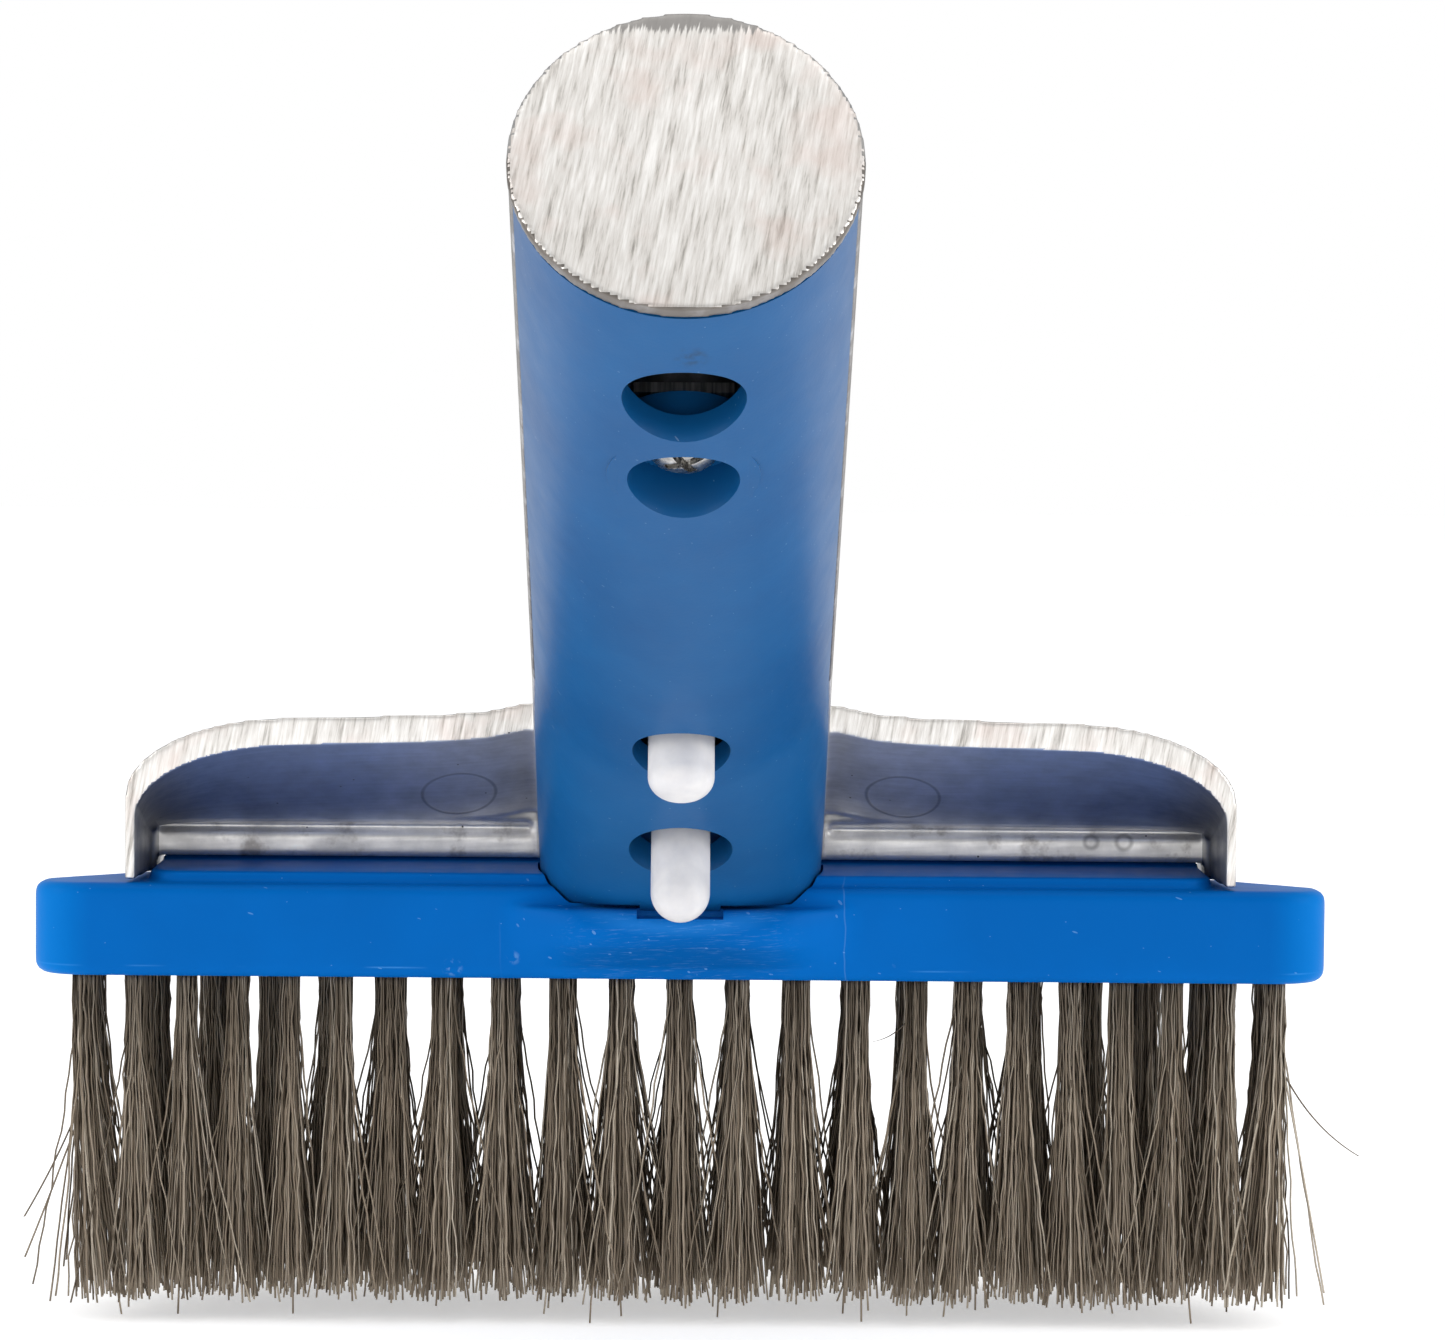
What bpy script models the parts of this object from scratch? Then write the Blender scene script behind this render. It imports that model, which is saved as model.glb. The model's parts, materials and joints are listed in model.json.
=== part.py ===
# A five-inch stainless steel wall brush for swimming pools: an ABS block with rows of wire tufts, a cast
# aluminium back whose leaning half-round handle ends in a ground disk, and a plastic handle cover through
# which a lock pin and a release button stand out, both carried by one sprung leaf.
import math

import bmesh
import bpy
from mathutils import Vector

# Driving dimensions, in metres. The block's front face is Y = 0 and its rim Z = 0, with Y running to the
# back, until block_frame moves everything over the origin. The handle frame has Z up along the handle's
# axis and Y towards its aluminium side.
GAP = 0.0003                    # between pieces that touch
LOOSE = 0.0005                  # round pins and spigots in their bores

BLOCK_LENGTH = 0.127
BLOCK_DEPTH = 0.029
BLOCK_HEIGHT = 0.0092
BLOCK_FRONT_CORNER = 0.005      # radius in plan
BLOCK_SIDE_DEPTH = 0.008        # straight end before the tapered back corner
BLOCK_LAST = (0.0045, 0.003)    # width and depth of the last, flatter taper at each back corner
BLOCK_TAPER = (0.0115, BLOCK_DEPTH - BLOCK_SIDE_DEPTH - BLOCK_LAST[1])  # and of the long one before it
BLOCK_EDGE = 0.0008             # rounding of the block's edges
RIM_FALL = 0.04                 # slope of the rim towards the back
DECK_HEIGHT = 0.001             # raised deck under the casting
DECK_END_MARGIN = 0.0113        # between the deck's end and the block's
DECK_FRONT = 0.002
DECK_BACK_MARGIN = 0.0012
DECK_CORNER = 0.003

FAIRING_MARGIN = 0.0023         # on each side of the handle, of the swelling under its cover
FAIRING_PROUD = 0.00104         # of the cover's lower edge
FAIRING_DROP = 0.0043           # depth of its fullest line below the rim
FAIRING_HALF_HEIGHT = 0.005
FAIRING_CLEAR = 0.0001          # of its top below the cover's seat in the block
FAIRING_SUNK = 0.0005           # of its middle behind the block's front face

HANDLE_LEAN = math.radians(31.6)  # of the handle's axis above the block's plane
HANDLE_LENGTH = 0.1265
HANDLE_RADIUS = 0.0142
HANDLE_WALL = 0.0025
HANDLE_FOOT = 0.0212            # where the axis meets the rim plane, behind the front face
ROUND_FROM = 0.045              # the section is a circle above this height on the axis
SQUARE_UNTIL = 0.020            # and a rounded square below this one
SQUARENESS = 3.5                # superellipse exponent at the foot
PARTING = 0.003                 # joint of cover and casting, in front of the axis

DISK_OVERHANG = 0.0001
DISK_THICKNESS = 0.0012
SPIGOT_LENGTH = 0.003

COVER_DROP = 0.0015             # the cover's lower edge below the rim
TAB_HALF_WIDTH = 0.0039
TAB_LENGTH = 0.0011
TAB_THICKNESS = 0.0026

TOP_HOLE_PLACE = 0.0147         # of the cover's upper two holes below the handle's end
SCREW_PLACE = 0.0273
PIN_PLACE = 0.03078             # and of the lower two above the cover's lower edge
BUTTON_PLACE = 0.01148
TOP_HOLE_RADIUS = 0.0050
SCREW_HOLE_ROOM = 0.0017        # round the screw's head
PIN_ROOM = 0.00135              # round the pin and the button, which swing with the leaf
BUTTON_ROOM = 0.0019
HOLE_LIP = 0.0008               # chamfer round each hole
SCREW_SEAT_DEPTH = 0.0046       # of the screw's seat below the cover's surface
SEAT_THICKNESS = 0.001
SEAT_WALL = 0.0018

LEAF_THICKNESS = 0.001
LEAF_HALF_WIDTH = 0.0042
LEAF_BELOW_BUTTON = 0.0062
LEAF_ROOT_LENGTH = 0.0107
LEAF_BEND_BELOW_SCREW = 0.00505
PIN_RADIUS = 0.00305
PIN_STANDOUT = 0.0037
PIN_ROUNDING = 0.6              # radius of the pin's end over its own radius
BUTTON_RADIUS = 0.0028
BUTTON_STANDOUT = 0.0070
BUTTON_ROUNDING = 1.0
PIN_NECK = 0.0015               # radius where a pin passes through the leaf
PIN_RIVET = (0.0026, 0.0014)    # radius and thickness of a pin's inner head

WING_END_MARGIN = 0.0092        # between the casting's end and the block's
WING_FRONT = 0.001              # plane of the ground edge, behind the block's front face
WING_CLEAR_OF_SCREWS = 0.00335  # where its sloping outer face runs out, in front of the screws' centres
WING_THICKNESS = 0.0023
WING_SHOULDER = (0.0163, 0.0078)  # width and fall of the arched outer corner at the front
WING_SHOULDER_LEFT = 0.12       # share of that fall at the ledge and behind it
WING_ROOT_RISE = [(0.0098, 0.0004), (0.0048, 0.0008), (0.0011, 0.0016)]  # beside the handle
WING_SECTIONS = 8
WING_END_WALL = 0.001
INNER_SHOULDER_LESS = 0.0005
LEDGE_ROOM = 0.0008             # between the cover's back edge and the front of the casting's solid base
BASE_HEIGHT = 0.0026            # of the screwed flange above the deck
BACK_MARGIN = 0.0008            # between the casting's back and the block's back
BACK_WALL = 0.0025
BOSS_RADIUS = 0.0045

SCREW_SHANK = 0.00145
INNER_SCREW_BESIDE = 0.0098     # between the inner screws and the handle
OUTER_SCREW_INSET = 0.0195      # from the block's end
BLOCK_SCREW_INSET = 0.004       # from the block's back
BLOCK_SCREW_DEPTH = 0.0030      # of its tip below the rim
SCREW_HEAD = (0.0026, 0.0018)   # radius and height
SCREW_HEAD_EDGE = 0.45          # upright part of a head's height
SCREW_POINT = 0.4               # chamfer at the tip, of the shank's radius
RECESS = (0.6, 0.13, 0.5)       # half-length and half-width over the head's radius, floor over its height
COVER_SCREW_HEAD = (0.0029, 0.0019)
COVER_SCREW_TIP = 0.003         # behind the axis

BRISTLE_LENGTH = 0.0313         # free wire below the block
TUFT_RADIUS = 0.00135
SOCKET_ROOF = 0.004             # block left over the tufts' sockets
ROWS = 4
FIRST_ROW = 0.0035
LAST_ROW_INSET = 0.0039         # from the block's back
MIDDLE_PITCH, MIDDLE_COLUMNS = 0.0058, 4    # columns on each side of the middle one
LAST_COLUMN_INSET, END_COLUMNS = 0.00495, 7     # closer ones beyond them, up to the block's end
TUFT_MARGIN = 0.0026            # from a tuft's centre to the block's edge
TUFT_SIDES = 8
TUFT_NECK = 0.15                # share of the free wire that stays slim
TUFT_SPREAD = [(0.6, 0.5), (1.0, 1.0)]  # share of the free wire, and of the full spread there
TUFT_REACH = 0.54               # of the row pitch, at the tips, so that a column's tufts join

SIDES = 48                      # round handle
SMALL_SIDES = 20                # pins and holes
SCREW_SIDES = 12

# Sizes that follow from the ones above.
SINE, COSINE = math.sin(HANDLE_LEAN), math.cos(HANDLE_LEAN)
FAR = 0.5                       # cutting boxes reach past everything
DEEP = 0.03                     # below the rim, for bodies that are trimmed to it
SADDLE_FLOOR = -COVER_DROP - GAP
COVER_FOOT = (COSINE * HANDLE_RADIUS - COVER_DROP) / SINE   # the cover's lower edge, on the axis
COVER_REACH = COSINE * COVER_FOOT + SINE * HANDLE_RADIUS - HANDLE_FOOT  # and in front of the block
LEDGE_DEPTH = HANDLE_FOOT - (COSINE * GAP + PARTING + GAP / 2) / SINE + LEDGE_ROOM  # solid base's front
INNER_RADIUS = HANDLE_RADIUS - HANDLE_WALL
CASTING_END = HANDLE_LENGTH - DISK_THICKNESS
FAIRING_REACH = COVER_REACH + FAIRING_PROUD
FAIRING_HALF_WIDTH = HANDLE_RADIUS + FAIRING_MARGIN
DECK_HALF_LENGTH = BLOCK_LENGTH / 2 - DECK_END_MARGIN
DECK_CLEAR = DECK_HEIGHT + GAP
BACK_PLANE = BLOCK_DEPTH - BACK_MARGIN
WING_HALF_LENGTH = BLOCK_LENGTH / 2 - WING_END_MARGIN
BLOCK_SCREW_X = (HANDLE_RADIUS + INNER_SCREW_BESIDE, BLOCK_LENGTH / 2 - OUTER_SCREW_INSET)
BLOCK_SCREW_Y = BLOCK_DEPTH - BLOCK_SCREW_INSET
BLOCK_SCREW_SEAT = DECK_CLEAR + BASE_HEIGHT
SHANK_BORE = SCREW_SHANK + GAP
SCREW_SEAT = HANDLE_RADIUS - SCREW_SEAT_DEPTH       # from the axis
LEAF_OUTER = SCREW_SEAT - SEAT_THICKNESS - GAP      # the leaf's cover side, from the axis
LEAF_INNER = LEAF_OUTER - LEAF_THICKNESS
TUFT_SOCKET = BLOCK_HEIGHT - SOCKET_ROOF
ROW_PITCH = (BLOCK_DEPTH - FIRST_ROW - LAST_ROW_INSET) / (ROWS - 1)
END_PITCH = (BLOCK_LENGTH / 2 - LAST_COLUMN_INSET - MIDDLE_PITCH * MIDDLE_COLUMNS) / END_COLUMNS

# Round holes in the cover: height on the axis and radius.
TOP_HOLE = (HANDLE_LENGTH - TOP_HOLE_PLACE, TOP_HOLE_RADIUS)
SCREW_HOLE = (HANDLE_LENGTH - SCREW_PLACE, COVER_SCREW_HEAD[0] + SCREW_HOLE_ROOM)
PIN_HOLE = (COVER_FOOT + PIN_PLACE, PIN_RADIUS + PIN_ROOM)
BUTTON_HOLE = (COVER_FOOT + BUTTON_PLACE, BUTTON_RADIUS + BUTTON_ROOM)

for leftover in list(bpy.data.objects):
    bpy.data.objects.remove(leftover)


def collection(name):
    made = bpy.data.collections.new(name)
    bpy.context.scene.collection.children.link(made)
    return made


parts = collection("pool_wall_brush")
cutters = collection("cutters")


def material(name, color, roughness, metallic=0.0):
    made = bpy.data.materials.new(name)
    made.use_nodes = True
    shader = made.node_tree.nodes["Principled BSDF"]
    shader.inputs["Base Color"].default_value = (*color, 1)
    shader.inputs["Roughness"].default_value = roughness
    shader.inputs["Metallic"].default_value = metallic
    return made


BLUE = material("blue_abs", (0.0, 0.13, 0.52), 0.4)
COVER_BLUE = material("blue_nylon", (0.03, 0.13, 0.42), 0.45)
ALUMINIUM = material("cast_aluminium", (0.55, 0.55, 0.56), 0.45, 1)
STEEL = material("stainless_steel", (0.6, 0.59, 0.57), 0.3, 1)
NYLON = material("white_nylon", (0.8, 0.8, 0.82), 0.4)
WIRE = material("stainless_wire", (0.25, 0.22, 0.18), 0.4, 1)


def empty(name, parent, place=(0, 0, 0), tilt=0.0):
    made = bpy.data.objects.new(name, None)
    made.parent = parent
    made.location = place
    made.rotation_euler = (tilt, 0, 0)
    parts.objects.link(made)
    return made


# The origin lies under the middle of the whole brush, on the plane of the bristle tips.
FRONT_END = HANDLE_FOOT - COSINE * HANDLE_LENGTH - SINE * (HANDLE_RADIUS + DISK_OVERHANG)
block_frame = empty("block_frame", None, (0, -(FRONT_END + BLOCK_DEPTH) / 2, BLOCK_HEIGHT + BRISTLE_LENGTH))
handle_frame = empty("handle_frame", block_frame, (0, HANDLE_FOOT, 0), math.pi / 2 - HANDLE_LEAN)
ACROSS = -math.pi / 2           # turns a drum's axis from the handle's axis to its aluminium side


def finish_mesh(name, bm, parent, place=(0, 0, 0), tilt=0.0, finish=None):
    """An object from a bmesh: a piece if it has a finish, and a cutter if not."""
    bmesh.ops.recalc_face_normals(bm, faces=bm.faces)
    mesh = bpy.data.meshes.new(name)
    bm.to_mesh(mesh)
    bm.free()
    return add_object(name, mesh, parent, place, tilt, finish)


def add_object(name, mesh, parent, place=(0, 0, 0), tilt=0.0, finish=None):
    made = bpy.data.objects.new(name, mesh)
    made.parent = parent
    made.location = place
    made.rotation_euler = (tilt, 0, 0)
    if finish:
        mesh.materials.append(finish)
        mesh.shade_smooth()
        mesh.set_sharp_from_angle(angle=math.radians(30))
        parts.objects.link(made)
    else:
        made.hide_render = True
        made.display_type = "WIRE"
        cutters.objects.link(made)
    return made


def box(name, low, high, parent, finish=None):
    low, high = Vector(low), Vector(high)
    bm = bmesh.new()
    bmesh.ops.create_cube(bm, size=1)
    for vert in bm.verts:
        vert.co = [a + (b - a) * (c + 0.5) for a, b, c in zip(low, high, vert.co)]
    return finish_mesh(name, bm, parent, finish=finish)


def drum(name, radii, ends, parent, place=(0, 0, 0), tilt=0.0, finish=None, sides=SMALL_SIDES):
    """A cylinder or cone from one end to the other along its own Z, with a radius at each end."""
    bm = bmesh.new()
    bmesh.ops.create_cone(bm, cap_ends=True, segments=sides, radius1=radii[0], radius2=radii[1],
                          depth=ends[1] - ends[0])
    bmesh.ops.translate(bm, verts=bm.verts, vec=(0, 0, (ends[0] + ends[1]) / 2))
    return finish_mesh(name, bm, parent, place, tilt, finish)


def outline_solid(name, points, low, high, parent, finish=None):
    """A flat outline in X and Y, filled and drawn out from low to high along Z."""
    curve = bpy.data.curves.new(name, "CURVE")
    curve.dimensions = "2D"
    curve.fill_mode = "BOTH"
    curve.extrude = (high - low) / 2
    spline = curve.splines.new("POLY")
    spline.points.add(len(points) - 1)
    for corner, point in zip(spline.points, points):
        corner.co = (point[0], point[1], 0, 1)
    spline.use_cyclic_u = True
    shape = bpy.data.objects.new(name, curve)
    cutters.objects.link(shape)
    bpy.context.view_layer.update()
    mesh = bpy.data.meshes.new_from_object(shape.evaluated_get(bpy.context.evaluated_depsgraph_get()))
    bpy.data.objects.remove(shape)
    bm = bmesh.new()
    bm.from_mesh(mesh)
    bmesh.ops.remove_doubles(bm, verts=bm.verts, dist=1e-6)
    bmesh.ops.dissolve_limit(bm, angle_limit=0.001, verts=bm.verts, edges=bm.edges)
    bmesh.ops.translate(bm, verts=bm.verts, vec=(0, 0, (low + high) / 2))
    return finish_mesh(name, bm, parent, finish=finish)


def turned(name, profile, parent, place, tilt, finish, sides=SMALL_SIDES):
    """A profile of (radius, height) points, from the top down, turned about its own Z."""
    mesh = bpy.data.meshes.new(name)
    mesh.from_pydata([(r, 0, z) for r, z in profile], [(i, i + 1) for i in range(len(profile) - 1)], [])
    made = add_object(name, mesh, parent, place, tilt, finish)
    screw = made.modifiers.new("turn", "SCREW")
    screw.steps = screw.render_steps = sides
    screw.use_merge_vertices = True
    screw.merge_threshold = 0.00001
    return made


def loft(name, rings, parent, place=(0, 0, 0), finish=None):
    """A closed skin over rings of points, each ring with the same number."""
    bm = bmesh.new()
    rows = [[bm.verts.new(point) for point in ring] for ring in rings]
    for lower, upper in zip(rows, rows[1:]):
        for i in range(len(lower)):
            j = (i + 1) % len(lower)
            bm.faces.new((lower[i], lower[j], upper[j], upper[i]))
    bm.faces.new(rows[0])
    bm.faces.new(rows[-1])
    return finish_mesh(name, bm, parent, place, finish=finish)


def boolean(target, tool, operation="DIFFERENCE"):
    step = target.modifiers.new(tool.name, "BOOLEAN")
    step.operation = operation
    step.object = tool
    step.solver = "EXACT"


def arc(center, radii, start, end, steps):
    turns = [math.radians(start + (end - start) * i / steps) for i in range(steps + 1)]
    return [(center[0] + radii[0] * math.cos(a), center[1] + radii[1] * math.sin(a)) for a in turns]


def mirrored(half):
    """A symmetric outline from its +X half, which runs from the bottom up to the middle."""
    return half + [(-x, y) for x, y in reversed(half) if x > 0]


def power(value, exponent):
    return math.copysign(abs(value) ** exponent, value)


def handle_body(name, low, high, grow=0.0, finish=None):
    """The handle's outside from low to high on its axis: a circle that turns squarer at the foot."""
    middle = [SQUARE_UNTIL + (ROUND_FROM - SQUARE_UNTIL) * i / 5 for i in range(6)]
    rings = []
    for height in [low, *middle, high]:
        share = min(max((ROUND_FROM - height) / (ROUND_FROM - SQUARE_UNTIL), 0), 1)
        exponent = 2 / (2 + (SQUARENESS - 2) * share)
        radius = HANDLE_RADIUS + grow
        turns = [2 * math.pi * i / SIDES for i in range(SIDES)]
        rings.append([(radius * power(math.cos(a), exponent), radius * power(math.sin(a), exponent), height)
                      for a in turns])
    return loft(name, rings, handle_frame, finish=finish)


def block_outline(inset=0.0):
    """The block's plan: round front corners and tapered back corners."""
    half, back = BLOCK_LENGTH / 2 - inset, BLOCK_DEPTH - inset
    corner = BLOCK_FRONT_CORNER - inset
    front = arc((half - corner, corner + inset), (corner, corner), -90, 0, 5)
    wide, deep = BLOCK_TAPER
    last = (back - BLOCK_SIDE_DEPTH - deep) * BLOCK_LAST[0] / BLOCK_LAST[1]
    return mirrored(front + [(half, BLOCK_SIDE_DEPTH), (half - wide, BLOCK_SIDE_DEPTH + deep),
                             (half - wide - last, back)])


def column_places():
    """X of each column of tufts, from the middle outwards, and half the free width beside it."""
    places, x = [(0.0, MIDDLE_PITCH / 2)], 0.0
    pitches = [MIDDLE_PITCH] * MIDDLE_COLUMNS + [END_PITCH] * END_COLUMNS
    for i, pitch in enumerate(pitches):
        x += pitch
        room = min(pitch, pitches[min(i + 1, len(pitches) - 1)]) / 2
        places = [(-x, room), *places, (x, room)]
    return places


def block_half_width(y):
    """Half the block's width at a depth behind its front face."""
    wide, deep = BLOCK_TAPER
    return BLOCK_LENGTH / 2 - max(y - BLOCK_SIDE_DEPTH, 0) * wide / deep


def row_places(x):
    """Y of the rows that have a tuft at this X."""
    rows = [FIRST_ROW + ROW_PITCH * i for i in range(ROWS)]
    return [y for y in rows if abs(x) + TUFT_MARGIN < block_half_width(y)]


def build_block():
    block = outline_solid("brush_block", block_outline(), -BLOCK_HEIGHT, 0, block_frame, BLUE)
    for vert in block.data.vertices:
        if vert.co.z > -GAP:
            vert.co.z -= RIM_FALL * vert.co.y
    edges = block.modifiers.new("edges", "BEVEL")
    edges.width = BLOCK_EDGE
    edges.segments = 2
    edges.limit_method = "ANGLE"
    edges.angle_limit = math.radians(50)

    deck_back = BACK_PLANE - DECK_BACK_MARGIN
    corner = DECK_CORNER
    front = arc((DECK_HALF_LENGTH - corner, DECK_FRONT + corner), (corner, corner), -90, 0, 4)
    deck = mirrored(front + [(DECK_HALF_LENGTH, BLOCK_SIDE_DEPTH + corner),
                             (block_half_width(deck_back) - 2 * corner, deck_back)])
    boolean(block, outline_solid("deck", deck, -BLOCK_HEIGHT / 2, DECK_HEIGHT, block_frame), "UNION")

    boolean(block, fairing_body(), "UNION")
    saddle = handle_body("saddle", -HANDLE_RADIUS, HANDLE_RADIUS * 4, GAP)
    boolean(saddle, box("saddle_floor", (-FAR, -FAR, -FAR), (FAR, FAR, SADDLE_FLOOR), block_frame))
    boolean(saddle, box("saddle_back", (-FAR, GAP - PARTING, -FAR), (FAR, FAR, FAR), handle_frame))
    boolean(block, saddle)
    boolean(block, box("tab_notch", (-TAB_HALF_WIDTH - GAP, -FAR, SADDLE_FLOOR - TAB_LENGTH),
                       (TAB_HALF_WIDTH + GAP, TAB_THICKNESS - FAIRING_REACH, FAR), block_frame))
    boolean(block, tuft_sockets())
    for x in BLOCK_SCREW_X:
        for side in (-x, x):
            boolean(block, drum("block_pilot", (SHANK_BORE, SHANK_BORE), (-BLOCK_SCREW_DEPTH - GAP, FAR),
                                block_frame, (side, BLOCK_SCREW_Y, 0), sides=SCREW_SIDES))


def fairing_body():
    """The swelling that carries the handle cover in front of the block."""
    bm = bmesh.new()
    bmesh.ops.create_uvsphere(bm, u_segments=24, v_segments=12, radius=1)
    size = (FAIRING_HALF_WIDTH, FAIRING_REACH + FAIRING_SUNK, FAIRING_HALF_HEIGHT)
    bmesh.ops.scale(bm, verts=bm.verts, vec=size)
    bmesh.ops.translate(bm, verts=bm.verts, vec=(0, FAIRING_SUNK, -FAIRING_DROP))
    body = finish_mesh("fairing", bm, block_frame)
    top = SADDLE_FLOOR - FAIRING_CLEAR
    boolean(body, box("fairing_top", (-FAR, -FAR, top), (FAR, FAR, FAR), block_frame))
    boolean(body, box("fairing_foot", (-FAR, -FAR, -FAR), (FAR, FAR, BLOCK_EDGE - BLOCK_HEIGHT), block_frame))
    return body


def tuft_sockets():
    """All the blind sockets as one cutter."""
    bm = bmesh.new()
    depth = TUFT_SOCKET + GAP
    for x, _ in column_places():
        for y in row_places(x):
            made = bmesh.ops.create_cone(bm, cap_ends=True, segments=TUFT_SIDES, radius1=TUFT_RADIUS + GAP,
                                         radius2=TUFT_RADIUS + GAP, depth=2 * depth)
            bmesh.ops.translate(bm, verts=made["verts"], vec=(x, y, -BLOCK_HEIGHT))
    return finish_mesh("tuft_sockets", bm, block_frame)


def build_cover():
    cover = handle_body("handle_cover", -HANDLE_RADIUS, CASTING_END - GAP, finish=COVER_BLUE)
    boolean(cover, drum("cover_bore", (INNER_RADIUS, INNER_RADIUS), (-FAR, FAR), handle_frame, sides=SIDES))
    height, radius = SCREW_HOLE
    boolean(cover, drum("screw_seat", (radius + SEAT_WALL, radius + SEAT_WALL),
                        (-HANDLE_RADIUS + HANDLE_WALL / 2, SEAT_THICKNESS - SCREW_SEAT), handle_frame,
                        (0, 0, height), ACROSS), "UNION")
    boolean(cover, box("cover_parting", (-FAR, -PARTING - GAP / 2, -FAR), (FAR, FAR, FAR), handle_frame))
    foot = box("cover_foot", (-FAR, -FAR, -FAR), (FAR, FAR, -COVER_DROP), block_frame)
    boolean(foot, box("tab_room", (-TAB_HALF_WIDTH, -2 * FAR, -COVER_DROP - TAB_LENGTH),
                      (TAB_HALF_WIDTH, TAB_THICKNESS - FAIRING_REACH - GAP, FAR), block_frame))
    boolean(cover, foot)
    for height, radius in (TOP_HOLE, PIN_HOLE, BUTTON_HOLE):
        cut_hole(cover, height, radius, 0.0)
    cut_hole(cover, *SCREW_HOLE, SCREW_SEAT)
    boolean(cover, drum("screw_passage", (SHANK_BORE, SHANK_BORE), (-HANDLE_RADIUS, 0), handle_frame,
                        (0, 0, SCREW_HOLE[0]), ACROSS, sides=SCREW_SIDES))


def cut_hole(cover, height, radius, bottom):
    """A round hole from outside down to a distance from the axis, with a chamfered lip."""
    place = (0, 0, height)
    boolean(cover, drum("hole", (radius, radius), (-FAR, -bottom), handle_frame, place, ACROSS))
    lip = (HANDLE_RADIUS + HOLE_LIP, HANDLE_RADIUS - HOLE_LIP)
    boolean(cover, drum("hole_lip", (radius + 2 * HOLE_LIP, radius), (-lip[0], -lip[1]), handle_frame, place,
                        ACROSS))


def wing_body(name, front, back, half_length, lower, finish=None):
    """Both wings: a sloping top with arched ends that flatten towards the back, and upright end walls."""
    less = (lower > 0) * INNER_SHOULDER_LESS
    wide, deep = (size - less for size in WING_SHOULDER)
    rings = []
    for i in range(WING_SECTIONS + 1):
        y = front + (back - front) * i / WING_SECTIONS
        share = min(max((y - WING_FRONT) / (LEDGE_DEPTH - WING_FRONT), 0), 1)
        fall = deep * (1 - (1 - WING_SHOULDER_LEFT) * share)
        run_out = BLOCK_SCREW_Y - WING_CLEAR_OF_SCREWS
        top = BLOCK_SCREW_SEAT - GAP - (lower + SINE * (y - run_out)) / COSINE
        corner = arc((half_length - wide, top - fall), (wide, fall), 0, 90, 10)
        inner = [(HANDLE_RADIUS + beside, top + lift) for beside, lift in WING_ROOT_RISE]
        outline = mirrored([(half_length, -DEEP), *corner, *inner, (0, inner[-1][1])])
        rings.append([(x, y, z) for x, z in outline])
    return loft(name, rings, block_frame, finish=finish)


def build_back():
    back = wing_body("aluminium_back", WING_FRONT, BACK_PLANE, WING_HALF_LENGTH, 0, ALUMINIUM)
    boolean(back, box("flange", (-WING_HALF_LENGTH, LEDGE_DEPTH, -DEEP),
                      (WING_HALF_LENGTH, BACK_PLANE, BLOCK_SCREW_SEAT - GAP), block_frame), "UNION")
    boolean(back, wing_body("wing_hollow", WING_FRONT - WING_THICKNESS, LEDGE_DEPTH,
                            WING_HALF_LENGTH - WING_END_WALL, WING_THICKNESS))

    boolean(back, back_half_tube(), "UNION")
    on_block = outline_solid("over_block", block_outline(BACK_MARGIN), -DEEP, FAR, block_frame)
    beside = HANDLE_RADIUS * 2
    boolean(on_block, box("over_front", (-beside, -FAR, -DEEP), (beside, BLOCK_DEPTH / 2, FAR), block_frame),
            "UNION")
    boolean(back, on_block, "INTERSECT")
    boolean(back, box("over_deck", (-DECK_HALF_LENGTH - 2 * GAP, -FAR, -FAR),
                      (DECK_HALF_LENGTH + 2 * GAP, FAR, DECK_CLEAR), block_frame))
    over_rim = box("over_rim", (-FAR, -FAR, -FAR), (FAR, FAR, GAP), block_frame)
    over_rim.rotation_euler = (-math.atan(RIM_FALL), 0, 0)
    boolean(back, over_rim)

    bore = drum("back_bore", (INNER_RADIUS, INNER_RADIUS), (-FAR, CASTING_END - SPIGOT_LENGTH), handle_frame,
                sides=SIDES)
    boolean(bore, box("back_wall", (-FAR, BACK_PLANE - BACK_WALL, -FAR), (FAR, FAR, FAR), block_frame))
    boolean(back, bore)
    rim = HANDLE_RADIUS + DISK_OVERHANG
    disk = drum("end_disk", (rim, rim), (CASTING_END, HANDLE_LENGTH), handle_frame, sides=SIDES)
    boolean(back, disk, "UNION")
    spigot = INNER_RADIUS - LOOSE
    boolean(back, drum("spigot", (spigot, spigot), (CASTING_END - SPIGOT_LENGTH, CASTING_END + GAP),
                       handle_frame, sides=SIDES), "UNION")
    height = SCREW_HOLE[0]
    boss_ends = (GAP - LEAF_INNER, INNER_RADIUS + HANDLE_WALL / 2)
    boolean(back, drum("screw_boss", (BOSS_RADIUS, BOSS_RADIUS), boss_ends, handle_frame, (0, 0, height),
                       ACROSS), "UNION")
    boolean(back, drum("boss_pilot", (SHANK_BORE, SHANK_BORE), (-INNER_RADIUS, COVER_SCREW_TIP + GAP),
                       handle_frame, (0, 0, height), ACROSS, sides=SCREW_SIDES))
    for x in BLOCK_SCREW_X:
        for side in (-x, x):
            boolean(back, drum("flange_hole", (SHANK_BORE, SHANK_BORE), (-DEEP, DEEP), block_frame,
                               (side, BLOCK_SCREW_Y, 0), sides=SCREW_SIDES))


def back_half_tube():
    tube = handle_body("half_tube", -DEEP, CASTING_END + GAP)
    boolean(tube, box("tube_parting", (-FAR, -FAR, -FAR), (FAR, GAP / 2 - PARTING, FAR), handle_frame))
    return tube


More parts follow.
